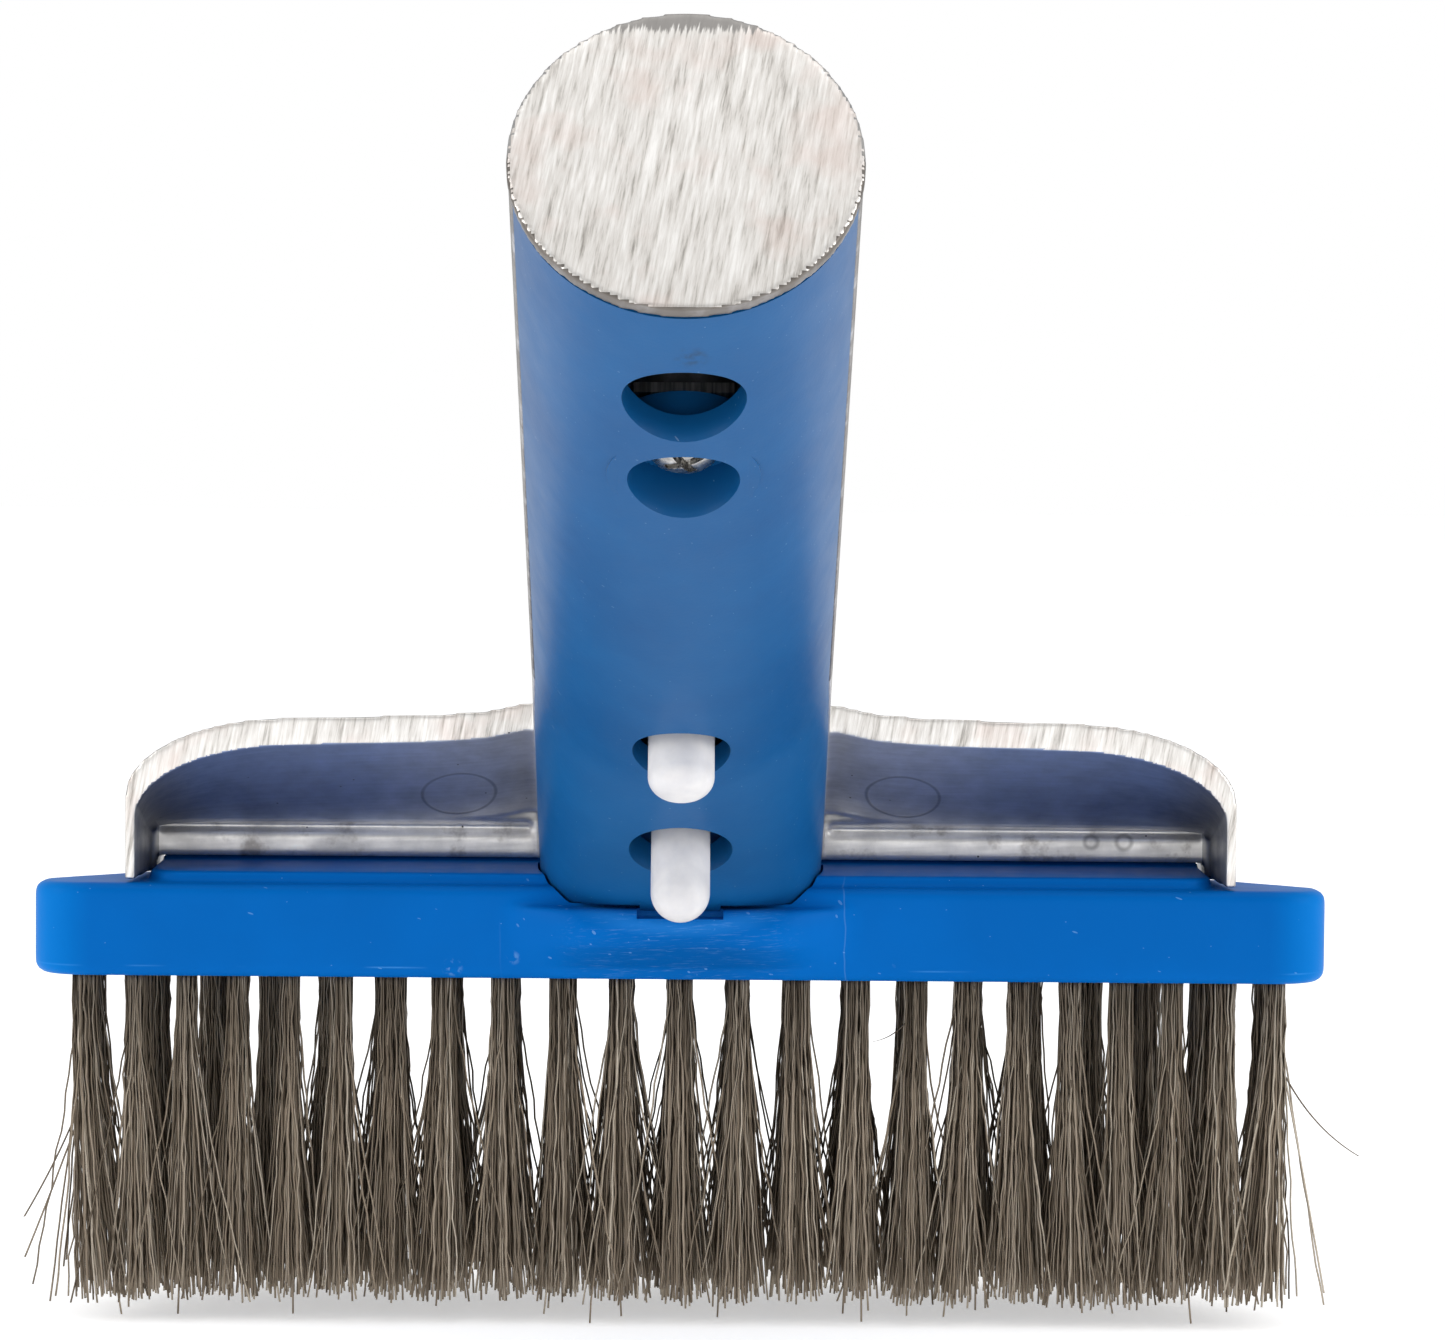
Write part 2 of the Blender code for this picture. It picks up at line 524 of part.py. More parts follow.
def build_screw(name, head, length, parent, place, tilt):
    """A pan-head screw with its seat at Z = 0, its tip at Z = -length and a cross recess."""
    radius, height = head
    dome = [(radius * math.sin(a), height * (SCREW_HEAD_EDGE + (1 - SCREW_HEAD_EDGE) * math.cos(a)))
            for a in (math.radians(step) for step in (0, 45, 90))]
    taper = SCREW_SHANK * SCREW_POINT
    screw = turned(name, [*dome, (radius, 0), (SCREW_SHANK, 0), (SCREW_SHANK, taper - length),
                          (SCREW_SHANK - taper, -length), (0, -length)], parent, place, tilt, STEEL,
                   SCREW_SIDES)
    long, narrow, floor = radius * RECESS[0], radius * RECESS[1], height * RECESS[2]
    for size in ((long, narrow), (narrow, long)):
        slot = box("recess", (-size[0], -size[1], floor), (size[0], size[1], 2 * height), parent)
        slot.location = place
        slot.rotation_euler = (tilt, 0, 0)
        boolean(screw, slot)


def build_clip():
    """The sprung leaf, bent at a line just below its screw, and the pin and button riveted to it."""
    bend = Vector((0, -(LEAF_OUTER + LEAF_INNER) / 2, SCREW_HOLE[0] - LEAF_BEND_BELOW_SCREW))
    hinge = empty("clip_hinge", handle_frame, bend)
    root = box("leaf_root", (-LEAF_HALF_WIDTH, -LEAF_OUTER, bend.z + GAP / 2),
               (LEAF_HALF_WIDTH, -LEAF_INNER, bend.z + LEAF_ROOT_LENGTH), handle_frame, STEEL)
    boolean(root, drum("root_hole", (SHANK_BORE, SHANK_BORE), (-HANDLE_RADIUS, 0), handle_frame,
                       (0, 0, SCREW_HOLE[0]), ACROSS, sides=SCREW_SIDES))
    half = LEAF_THICKNESS / 2
    leaf_end = BUTTON_HOLE[0] - LEAF_BELOW_BUTTON - bend.z
    leaf = box("spring_leaf", (-LEAF_HALF_WIDTH, -half, leaf_end), (LEAF_HALF_WIDTH, half, -GAP / 2), hinge,
               STEEL)
    neck_bore = PIN_NECK + GAP
    for height in (PIN_HOLE[0], BUTTON_HOLE[0]):
        boolean(leaf, drum("leaf_hole", (neck_bore, neck_bore), (-HANDLE_RADIUS, HANDLE_RADIUS), hinge,
                           (0, 0, height - bend.z), ACROSS, sides=SCREW_SIDES))
    build_pin("lock_pin", PIN_HOLE[0], PIN_RADIUS, PIN_STANDOUT, PIN_ROUNDING, hinge, bend)
    build_pin("release_button", BUTTON_HOLE[0], BUTTON_RADIUS, BUTTON_STANDOUT, BUTTON_ROUNDING, hinge, bend)


def build_pin(name, height, radius, standout, roundness, hinge, bend):
    """A pin standing out of the cover, waisted where it passes through the leaf."""
    tip = HANDLE_RADIUS + standout + bend.y
    shoulder = LEAF_THICKNESS / 2 + GAP
    round_off = radius * roundness
    nose = [(radius - round_off + x, tip - round_off + z)
            for z, x in arc((0, 0), (round_off, round_off), 0, 90, 6)]
    rivet_radius, rivet = PIN_RIVET
    profile = [(0, tip)] if roundness < 1 else []
    profile += nose + [(radius, shoulder), (PIN_NECK, shoulder), (PIN_NECK, -shoulder),
                       (rivet_radius, -shoulder), (rivet_radius, -shoulder - rivet), (0, -shoulder - rivet)]
    turned(name, profile, hinge, (0, 0, height - bend.z), math.pi / 2, NYLON)


def build_bristles():
    """One solid for each column of tufts, front to back: slim at the block and flared into each other."""
    for number, (x, room) in enumerate(column_places(), 1):
        rows = row_places(x)
        column = tuft(f"bristle_column_{number:02d}", x, rows[0], room, WIRE)
        for y in rows[1:]:
            boolean(column, tuft("tuft", x, y, room, None), "UNION")


def tuft(name, x, y, room, finish):
    spread = (room - GAP / 2, ROW_PITCH * TUFT_REACH)
    sections = [(TUFT_SOCKET, 0.0), (-BRISTLE_LENGTH * TUFT_NECK, 0.0)]
    sections += [(-BRISTLE_LENGTH * along, share) for along, share in TUFT_SPREAD]
    half_side = math.pi / TUFT_SIDES
    rings = []
    for z, share in sections:
        wide, deep = (TUFT_RADIUS + (size - TUFT_RADIUS) * share for size in spread)
        turns = [half_side * (2 * i + 1) for i in range(TUFT_SIDES)]
        if share == 1.0:            # the flats reach the full spread at the tips
            wide, deep = wide / math.cos(half_side), deep / math.cos(half_side)
        rings.append([(wide * math.cos(a), deep * math.sin(a), z - BLOCK_HEIGHT) for a in turns])
    return loft(name, rings, block_frame, (x, y, 0), finish)


build_block()
build_cover()
build_back()
build_clip()
build_bristles()
for x in BLOCK_SCREW_X:
    for side, word in ((-1, "left"), (1, "right")):
        where = "inner" if x == BLOCK_SCREW_X[0] else "outer"
        build_screw(f"block_screw_{word}_{where}", SCREW_HEAD, BLOCK_SCREW_SEAT + BLOCK_SCREW_DEPTH,
                    block_frame, (side * x, BLOCK_SCREW_Y, BLOCK_SCREW_SEAT), 0)
build_screw("cover_screw", COVER_SCREW_HEAD, SCREW_SEAT + GAP + COVER_SCREW_TIP, handle_frame,
            (0, -SCREW_SEAT - GAP, SCREW_HOLE[0]), math.pi / 2)
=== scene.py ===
import json
import math

import bmesh
import bpy
import numpy as np
from mathutils import Matrix, Vector

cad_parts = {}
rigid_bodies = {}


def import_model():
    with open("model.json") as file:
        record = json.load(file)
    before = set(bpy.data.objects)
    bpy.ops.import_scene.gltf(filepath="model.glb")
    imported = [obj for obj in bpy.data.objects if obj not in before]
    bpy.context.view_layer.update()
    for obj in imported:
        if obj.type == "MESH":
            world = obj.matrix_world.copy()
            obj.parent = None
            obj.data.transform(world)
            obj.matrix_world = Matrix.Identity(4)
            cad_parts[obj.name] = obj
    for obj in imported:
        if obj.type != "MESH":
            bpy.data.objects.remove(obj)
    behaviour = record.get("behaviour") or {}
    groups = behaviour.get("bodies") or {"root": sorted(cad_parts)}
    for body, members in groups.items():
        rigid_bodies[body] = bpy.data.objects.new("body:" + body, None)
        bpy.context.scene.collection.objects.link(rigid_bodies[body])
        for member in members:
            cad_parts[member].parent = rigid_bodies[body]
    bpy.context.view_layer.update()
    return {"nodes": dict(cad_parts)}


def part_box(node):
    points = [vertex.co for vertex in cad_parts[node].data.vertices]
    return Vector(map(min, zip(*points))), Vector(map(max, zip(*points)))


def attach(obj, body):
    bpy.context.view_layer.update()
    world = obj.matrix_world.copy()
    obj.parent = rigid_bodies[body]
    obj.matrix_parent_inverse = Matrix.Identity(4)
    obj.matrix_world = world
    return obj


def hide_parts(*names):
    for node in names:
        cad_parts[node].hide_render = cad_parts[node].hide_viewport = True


for leftover in list(bpy.data.objects):
    bpy.data.objects.remove(leftover)
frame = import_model()
nodes = frame["nodes"]
print("frame loaded")

# Everything below is in metres. The block's own frame has its front face at Y = 0 and its rim at Z = 0.
# The handle's frame has Z up along the handle's axis and Y towards the aluminium side.
block = {"length": 0.127, "depth": 0.029, "height": 0.0092, "rimFall": 0.04, "frontCorner": 0.005,
         "sideDepth": 0.008, "taper": (0.0115, 0.018), "edge": 0.0011, "voxel": 0.00032, "rounding": 5,
         "keep": 0.45, "seam": 0.00012}
deck = {"halfLength": 0.0522, "height": 0.001, "front": 0.002, "back": 0.027, "corner": 0.003,
        "straightTo": 0.0205, "padFront": 0.0166, "padHeight": 0.00128}
# the swelling under the cover: its share of the full reach at heights below the rim
fairing = {"fullWidth": 0.0085, "fade": 0.0095, "reach": 0.0045,
           "profile": [(-0.0088, 0.0), (-0.0080, 0.12), (-0.0068, 0.45), (-0.0056, 0.82), (-0.0044, 0.98),
                       (-0.0036, 1.0), (-0.0029, 0.96), (-0.0023, 0.89), (-0.0019, 0.80)]}
handle = {"lean": 31.6, "foot": 0.0212, "radius": 0.0142, "wall": 0.0025, "roundFrom": 0.045,
          "squareUntil": 0.020, "squareness": 3.5, "parting": 0.003, "end": 0.1250, "sides": 96,
          "ringStep": 0.0016, "below": -0.012, "saddleTop": 0.06}
cover = {"drop": 0.0015, "tabHalfWidth": 0.0039, "tabLength": 0.0011, "tabThickness": 0.0026,
         "gap": 0.0003, "screwSeat": 0.0096, "seatThickness": 0.001, "seatWall": 0.0018, "lip": 0.0011,
         "inset": 0.00012, "seatSunk": 0.00125, "flareDepth": 0.0030, "flareWidth": 1.7, "holeBottom": 0.004,
         "passage": (0.00175, 0.002, 0.012)}
# height on the axis and radius of each round hole in the cover
holes = {"top": (0.1118, 0.0050), "screw": (0.0992, 0.0046), "pin": (0.0510, 0.0044),
         "button": (0.0317, 0.0047)}

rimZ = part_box("brush_block")[0].z + block["height"]
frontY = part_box("brush_block")[1].y - block["depth"]
blockFrame = Matrix.Translation((0, frontY, rimZ))
handleFrame = (blockFrame @ Matrix.Translation((0, handle["foot"], 0))
               @ Matrix.Rotation(math.radians(90 - handle["lean"]), 4, "X"))
far = 0.3   # past every piece, for cutters


def hexToLinear(code):
    channels = [int(code[i:i + 2], 16) / 255 for i in (1, 3, 5)]
    return (*[c / 12.92 if c <= 0.04045 else ((c + 0.055) / 1.055) ** 2.4 for c in channels], 1)


def perMetre(millimetres):
    return 1000 / millimetres


def onBlock(x, y, z):
    # a place given in the block's own frame
    return x, frontY + y, rimZ + z


# ---- materials ----

def addNode(tree, kind, settings, links=()):
    node = tree.nodes.new(kind)
    for name, value in settings.items():
        if name == "stops":
            ramp = node.color_ramp
            while len(ramp.elements) < len(value):
                ramp.elements.new(0.5)
            for stop, (place, color) in zip(ramp.elements, value):
                stop.position = place
                stop.color = hexToLinear(color)
        elif isinstance(name, int) or name in node.inputs:
            node.inputs[name].default_value = value
        else:
            setattr(node, name, value)
    for name, source in dict(links).items():
        tree.links.new(source, node.inputs[name])
    return node


def newMaterial(name, values):
    made = bpy.data.materials.new(name)
    made.use_nodes = True
    tree = made.node_tree
    shader = tree.nodes["Principled BSDF"]
    for socket, value in values.items():
        shader.inputs[socket].default_value = value
    coords = addNode(tree, "ShaderNodeTexCoord", {}).outputs["Object"]
    return made, tree, shader, coords


def stretched(tree, coords, angle, sizes):
    # coordinates for a pattern that is turned first and then drawn out, with its size in mm along each way
    turned = addNode(tree, "ShaderNodeMapping", {"Rotation": [math.radians(a) for a in angle]},
                     {"Vector": coords})
    drawn = addNode(tree, "ShaderNodeMapping", {"Scale": [perMetre(size) for size in sizes]},
                    {"Vector": turned.outputs[0]})
    return drawn.outputs[0]


def scratches(tree, coords, length, width, angle, share):
    # short straight marks: stretched cells, of which only some are kept
    drawn = stretched(tree, coords, angle, (width * 12, width * 12, length * 3))
    cells = addNode(tree, "ShaderNodeTexVoronoi", {"Scale": 1.0}, {"Vector": drawn})
    near = addNode(tree, "ShaderNodeMath", {"operation": "LESS_THAN", 1: 0.11},
                   {0: cells.outputs["Distance"]})
    tone = addNode(tree, "ShaderNodeSeparateColor", {}, {0: cells.outputs["Color"]})
    kept = addNode(tree, "ShaderNodeMath", {"operation": "LESS_THAN", 1: share}, {0: tone.outputs[0]})
    both = addNode(tree, "ShaderNodeMath", {"operation": "MULTIPLY"},
                   {0: near.outputs[0], 1: kept.outputs[0]})
    return both.outputs[0]


def nearPlace(tree, coords, place, radius, soft):
    # one inside a ball round a place, fading to nothing at its edge
    away = addNode(tree, "ShaderNodeVectorMath", {"operation": "DISTANCE", 1: place}, {0: coords})
    share = addNode(tree, "ShaderNodeMapRange", {"From Min": radius - soft, "From Max": radius + soft,
                    "To Min": 1.0, "To Max": 0.0}, {"Value": away.outputs["Value"]})
    return share.outputs[0]


def combined(tree, operation, *values):
    made = addNode(tree, "ShaderNodeMath", {"operation": operation})
    for index, source in enumerate(values):
        if isinstance(source, (int, float)):
            made.inputs[index].default_value = source
        else:
            tree.links.new(source, made.inputs[index])
    return made.outputs[0]


def between(tree, value, low, high):
    # rises from nothing to one as the value goes from low to high
    share = addNode(tree, "ShaderNodeMapRange", {"From Min": low, "From Max": high}, {"Value": value})
    return share.outputs[0]


def tinted(tree, color, share, code):
    mixed = addNode(tree, "ShaderNodeMix", {"data_type": "RGBA", 7: hexToLinear(code)},
                    {0: share, 6: color})
    return mixed.outputs[2]


def finishSurface(tree, shader, gloss, roughness, relief, strength, depth):
    # roughness that follows one pattern, and relief that follows another
    rough = addNode(tree, "ShaderNodeMapRange", roughness, {"Value": gloss})
    tree.links.new(rough.outputs[0], shader.inputs["Roughness"])
    bump = addNode(tree, "ShaderNodeBump", {"Strength": strength, "Distance": depth}, {"Height": relief})
    tree.links.new(bump.outputs[0], shader.inputs["Normal"])


def handled(tree, coords, base, marks, specks, strength, code):
    # scratches and specks from handling in a paler colour: where they are, and the colour with them
    pale = addNode(tree, "ShaderNodeMath", {"operation": "MAXIMUM"},
                   {0: scratches(tree, coords, *marks), 1: scratches(tree, coords, *specks)})
    faint = addNode(tree, "ShaderNodeMath", {"operation": "MULTIPLY", 1: strength}, {0: pale.outputs[0]})
    return pale.outputs[0], tinted(tree, base, faint.outputs[0], code)


def mouldGrain(tree, coords, size, pale):
    # mould texture, drawn coarser than the real one so that it shows, with the marks sunk into it
    grain = addNode(tree, "ShaderNodeTexNoise", {"Scale": perMetre(size), "Detail": 2.0}, {"Vector": coords})
    relief = addNode(tree, "ShaderNodeMath", {"operation": "MULTIPLY_ADD", 1: -0.6},
                     {0: pale, 2: grain.outputs[0]})
    return relief.outputs[0]


# marks on the block: the parting line above its underside, flow lines beside the middle, both with half
# their width, and scuffs with their radius and softness
blockMarks = {"parting": (0.0011, 0.00008), "flow": (0.0169, 0.00007), "flowWander": 0.0016,
              "rub": ((0, -0.003, -0.0058), 0.0105, 0.002),
              "scuffs": [((-0.0162, 0, -0.0070), 0.0004, 0.0004), ((-0.0222, 0, -0.0081), 0.0006, 0.0005)],
              # painted light: the span of X over which the block's rounded ends are painted lighter
              "paintedLightOnEnds": (0.0575, 0.0625)}
# in the handle's frame, with radius and softness
coverMarks = {"smudge": ((0.0006, -0.0142, 0.1193), 0.0011, 0.0007),
              "nick": ((0.0075, -0.01206, 0.0318), 0.00045, 0.0001)}
# on the ledge by X, height and radius; under the wings by X and Y, with both radii of the pin's mark
castMarks = {"rings": [(0.0413, 0.0034, 0.0008), (0.0446, 0.0034, 0.0009)], "ringFront": 0.0155,
             "ejector": (0.0221, 0.0108), "ejectorRadii": (0.0038, 0.0035)}


def blueAbsMoulded():
    # injection-moulded ABS: an even strong blue, a soft sheen, handling scratches and pale specks
    made, tree, shader, coords = newMaterial("blueAbsMoulded", {"IOR": 1.54, "Specular IOR Level": 0.03})
    broad = addNode(tree, "ShaderNodeTexNoise", {"Scale": perMetre(22), "Detail": 3.0}, {"Vector": coords})
    base = addNode(tree, "ShaderNodeValToRGB", {"stops": [(0.35, "#0060B2"), (0.65, "#0067BD")]},
                   {"Fac": broad.outputs[0]})
    pale, color = handled(tree, coords, base.outputs[0], (1.2, 0.06, (30, 70, 17), 0.10),
                          (0.15, 0.06, (11, 6, 50), 0.05), 0.35, "#7FB4E6")
    # the mould's parting line just above the underside
    height = addNode(tree, "ShaderNodeSeparateXYZ", {}, {0: coords})
    partingUp, partingHalf = blockMarks["parting"]
    line = addNode(tree, "ShaderNodeMath", {"operation": "COMPARE", 1: rimZ - block["height"] + partingUp,
                   2: partingHalf}, {0: height.outputs["Z"]})
    worn = addNode(tree, "ShaderNodeTexNoise", {"Scale": perMetre(9)}, {"Vector": coords})
    wornRamp = addNode(tree, "ShaderNodeMapRange", {"From Min": 0.5, "From Max": 0.65, "To Max": 0.5},
                       {"Value": worn.outputs[0]})
    lineShare = addNode(tree, "ShaderNodeMath", {"operation": "MULTIPLY"},
                        {0: line.outputs[0], 1: wornRamp.outputs[0]})
    lined = tinted(tree, color, lineShare.outputs[0], "#4C9BE0")
    # rubbing on the swelling under the cover, flow lines at its ends, and two scuffs low on the left
    fine = addNode(tree, "ShaderNodeTexNoise", {"Scale": 1.0, "Detail": 4.0, "Roughness": 0.7},
                   {"Vector": stretched(tree, coords, (0, 4, 0), (2.5, 0.25, 0.18))})
    rubbed = combined(tree, "MULTIPLY", between(tree, fine.outputs[0], 0.55, 0.7),
                      nearPlace(tree, coords, onBlock(*blockMarks["rub"][0]), *blockMarks["rub"][1:]))
    wander = addNode(tree, "ShaderNodeTexNoise", {"Scale": perMetre(6)}, {"Vector": coords})
    across = combined(tree, "MULTIPLY_ADD", height.outputs["X"], 1.0,
                      combined(tree, "MULTIPLY", wander.outputs[0], blockMarks["flowWander"]))
    side = combined(tree, "ABSOLUTE", across, 0.0)
    flow = combined(tree, "COMPARE", side, *blockMarks["flow"])
    flow = combined(tree, "MULTIPLY", flow, nearPlace(tree, coords, onBlock(0, 0, -0.0055), 0.0174, 0.0004))
    grazes = scratches(tree, coords, 0.9, 0.10, (20, 40, 60), 0.5)
    gritty = addNode(tree, "ShaderNodeTexNoise", {"Scale": perMetre(0.7), "Detail": 5.0}, {"Vector": coords})
    scuffs = combined(tree, "MAXIMUM", *(nearPlace(tree, coords, onBlock(*place), radius, soft)
                                         for place, radius, soft in blockMarks["scuffs"]))
    worn = combined(tree, "MAXIMUM", combined(tree, "MULTIPLY", rubbed, 0.16),
                    combined(tree, "MULTIPLY", flow, 0.10))
    worn = combined(tree, "MAXIMUM", worn, combined(tree, "MULTIPLY", combined(
        tree, "MULTIPLY", scuffs, between(tree, gritty.outputs[0], 0.5, 0.62)), 0.5))
    worn = combined(tree, "MAXIMUM", worn, combined(tree, "MULTIPLY", combined(
        tree, "MULTIPLY", grazes, nearPlace(tree, coords, onBlock(0, 0, -0.006), 0.018, 0.004)), 0.3))
    # painted shade on the swelling's underside, and painted light on the rounded ends
    narrowed = combined(tree, "MULTIPLY", height.outputs["X"], 0.36)
    squashed = addNode(tree, "ShaderNodeCombineXYZ", {}, {0: narrowed, 2: height.outputs["Z"]}).outputs[0]
    shaded = combined(tree, "MULTIPLY", nearPlace(tree, squashed, (0, 0, rimZ - 0.0073), 0.0032, 0.0012),
                      between(tree, combined(tree, "MULTIPLY", height.outputs["Y"], -1.0), -frontY - 0.001,
                              -frontY + 0.0005))
    lit = combined(tree, "MULTIPLY", between(tree, combined(tree, "ABSOLUTE", height.outputs["X"], 0.0),
                                             *blockMarks["paintedLightOnEnds"]), 0.45)
    moldedAndLit = tinted(tree, lined, combined(tree, "MULTIPLY", shaded, 0.6), "#00529A")
    moldedAndLit = tinted(tree, moldedAndLit, lit, "#0488E0")
    # painted highlight: a pale crescent along the swelling's rounded top, just under the cover
    paintedCrescent = combined(tree, "SUBTRACT", nearPlace(tree, squashed, (0, 0, rimZ - 0.0004), 0.0036, 0.0006),
                        nearPlace(tree, squashed, (0, 0, rimZ - 0.0001), 0.0029, 0.0006))
    onSwelling = between(tree, combined(tree, "MULTIPLY", height.outputs["Y"], -1.0), -frontY,
                         -frontY + 0.0012)
    paintedCrescent = combined(tree, "MULTIPLY", combined(tree, "MULTIPLY", paintedCrescent, onSwelling), 0.42)
    moldedAndLit = tinted(tree, moldedAndLit, paintedCrescent, "#3390E2")
    tree.links.new(tinted(tree, moldedAndLit, worn, "#8FC0EE"), shader.inputs["Base Color"])
    gloss = addNode(tree, "ShaderNodeTexNoise", {"Scale": perMetre(3), "Detail": 4.0}, {"Vector": coords})
    finishSurface(tree, shader, gloss.outputs[0], {"To Min": 0.34, "To Max": 0.46},
                  mouldGrain(tree, coords, 0.3, pale), 0.12, 0.00006)
    return made


def blueNylonMoulded():
    # moulded glass-filled nylon: a duller, greyer blue with a soft silky sheen and a fine grain
    made, tree, shader, coords = newMaterial("blueNylonMoulded", {"IOR": 1.53,
                                              "Specular IOR Level": 0.26})
    broad = addNode(tree, "ShaderNodeTexNoise", {"Scale": perMetre(14), "Detail": 4.0}, {"Vector": coords})
    base = addNode(tree, "ShaderNodeValToRGB", {"stops": [(0.35, "#034E85"), (0.65, "#08568E")]},
                   {"Fac": broad.outputs[0]})
    pale, color = handled(tree, coords, base.outputs[0], (1.0, 0.05, (17, 40, 11), 0.09),
                          (0.12, 0.05, (50, 6, 23), 0.08), 0.22, "#A9C4E4")
    # a grey smudge above the top hole, and a white nick beside the button
    smudge, nick = (nearPlace(tree, coords, handleFrame @ Vector(place), radius, soft)
                    for place, radius, soft in (coverMarks["smudge"], coverMarks["nick"]))
    uneven = addNode(tree, "ShaderNodeTexNoise", {"Scale": perMetre(0.8), "Detail": 3.0}, {"Vector": coords})
    smudge = combined(tree, "MULTIPLY", smudge, between(tree, uneven.outputs[0], 0.4, 0.9))
    soiled = tinted(tree, color, smudge, "#1C2A3C")
    tree.links.new(tinted(tree, soiled, nick, "#C9DCEF"), shader.inputs["Base Color"])
    gloss = addNode(tree, "ShaderNodeTexNoise", {"Scale": perMetre(2.5), "Detail": 5.0},
                    {"Vector": coords})
    finishSurface(tree, shader, gloss.outputs[0], {"To Min": 0.36, "To Max": 0.5},
                  mouldGrain(tree, coords, 0.35, pale), 0.15, 0.00006)
    return made


def groundAluminium():
    # cast aluminium ground on a belt: bright, with fine slanted streaks and a few warm patches
    made, tree, shader, coords = newMaterial("groundAluminium", {"Metallic": 1.0})
    fineStreaks = addNode(tree, "ShaderNodeTexNoise", {"Scale": 1.0, "Detail": 4.0, "Roughness": 0.65},
                          {"Vector": stretched(tree, coords, (0, -10, 0), (0.3, 4, 4))})
    wideStreaks = addNode(tree, "ShaderNodeTexNoise", {"Scale": 1.0, "Detail": 3.0},
                          {"Vector": stretched(tree, coords, (0, -13, 0), (1.1, 7, 7))})
    streaks = addNode(tree, "ShaderNodeMath", {"operation": "MULTIPLY_ADD", 1: 0.5},
                      {0: wideStreaks.outputs[0], 2: fineStreaks.outputs[0]})
    tone = addNode(tree, "ShaderNodeValToRGB", {"stops": [(0.5, "#A8A39D"), (0.68, "#DDD9D4"),
                   (0.95, "#F6F4F1")]}, {"Fac": streaks.outputs[0]})
    patches = addNode(tree, "ShaderNodeTexNoise", {"Scale": perMetre(5), "Detail": 3.0},
                      {"Vector": coords})
    patchShare = addNode(tree, "ShaderNodeMapRange", {"From Min": 0.52, "From Max": 0.72, "To Max": 0.4},
                         {"Value": patches.outputs[0]})
    color = addNode(tree, "ShaderNodeMix", {"data_type": "RGBA", 7: hexToLinear("#DCC7BE")},
                    {0: patchShare.outputs[0], 6: tone.outputs[0]})
    # the belt missed a ragged strip along the disk's upper edge
    backWay = handleFrame.to_3x3() @ Vector((0, 1, 0))
    depth = addNode(tree, "ShaderNodeVectorMath", {"operation": "DOT_PRODUCT", 1: backWay}, {0: coords})
    rag = combined(tree, "MULTIPLY", fineStreaks.outputs[0], 0.0035)
    reach = combined(tree, "SUBTRACT", depth.outputs["Value"], rag)
    rim = backWay.dot(handleFrame.translation) + handle["radius"]
    missed = between(tree, reach, rim - 0.0036, rim - 0.0032)
    tree.links.new(tinted(tree, color.outputs[2], missed, "#9D9A97"), shader.inputs["Base Color"])
    finishSurface(tree, shader, streaks.outputs[0],
                  {"From Min": 0.5, "From Max": 1.0, "To Min": 0.55, "To Max": 0.38},
                  streaks.outputs[0], 0.35, 0.00008)
    return made


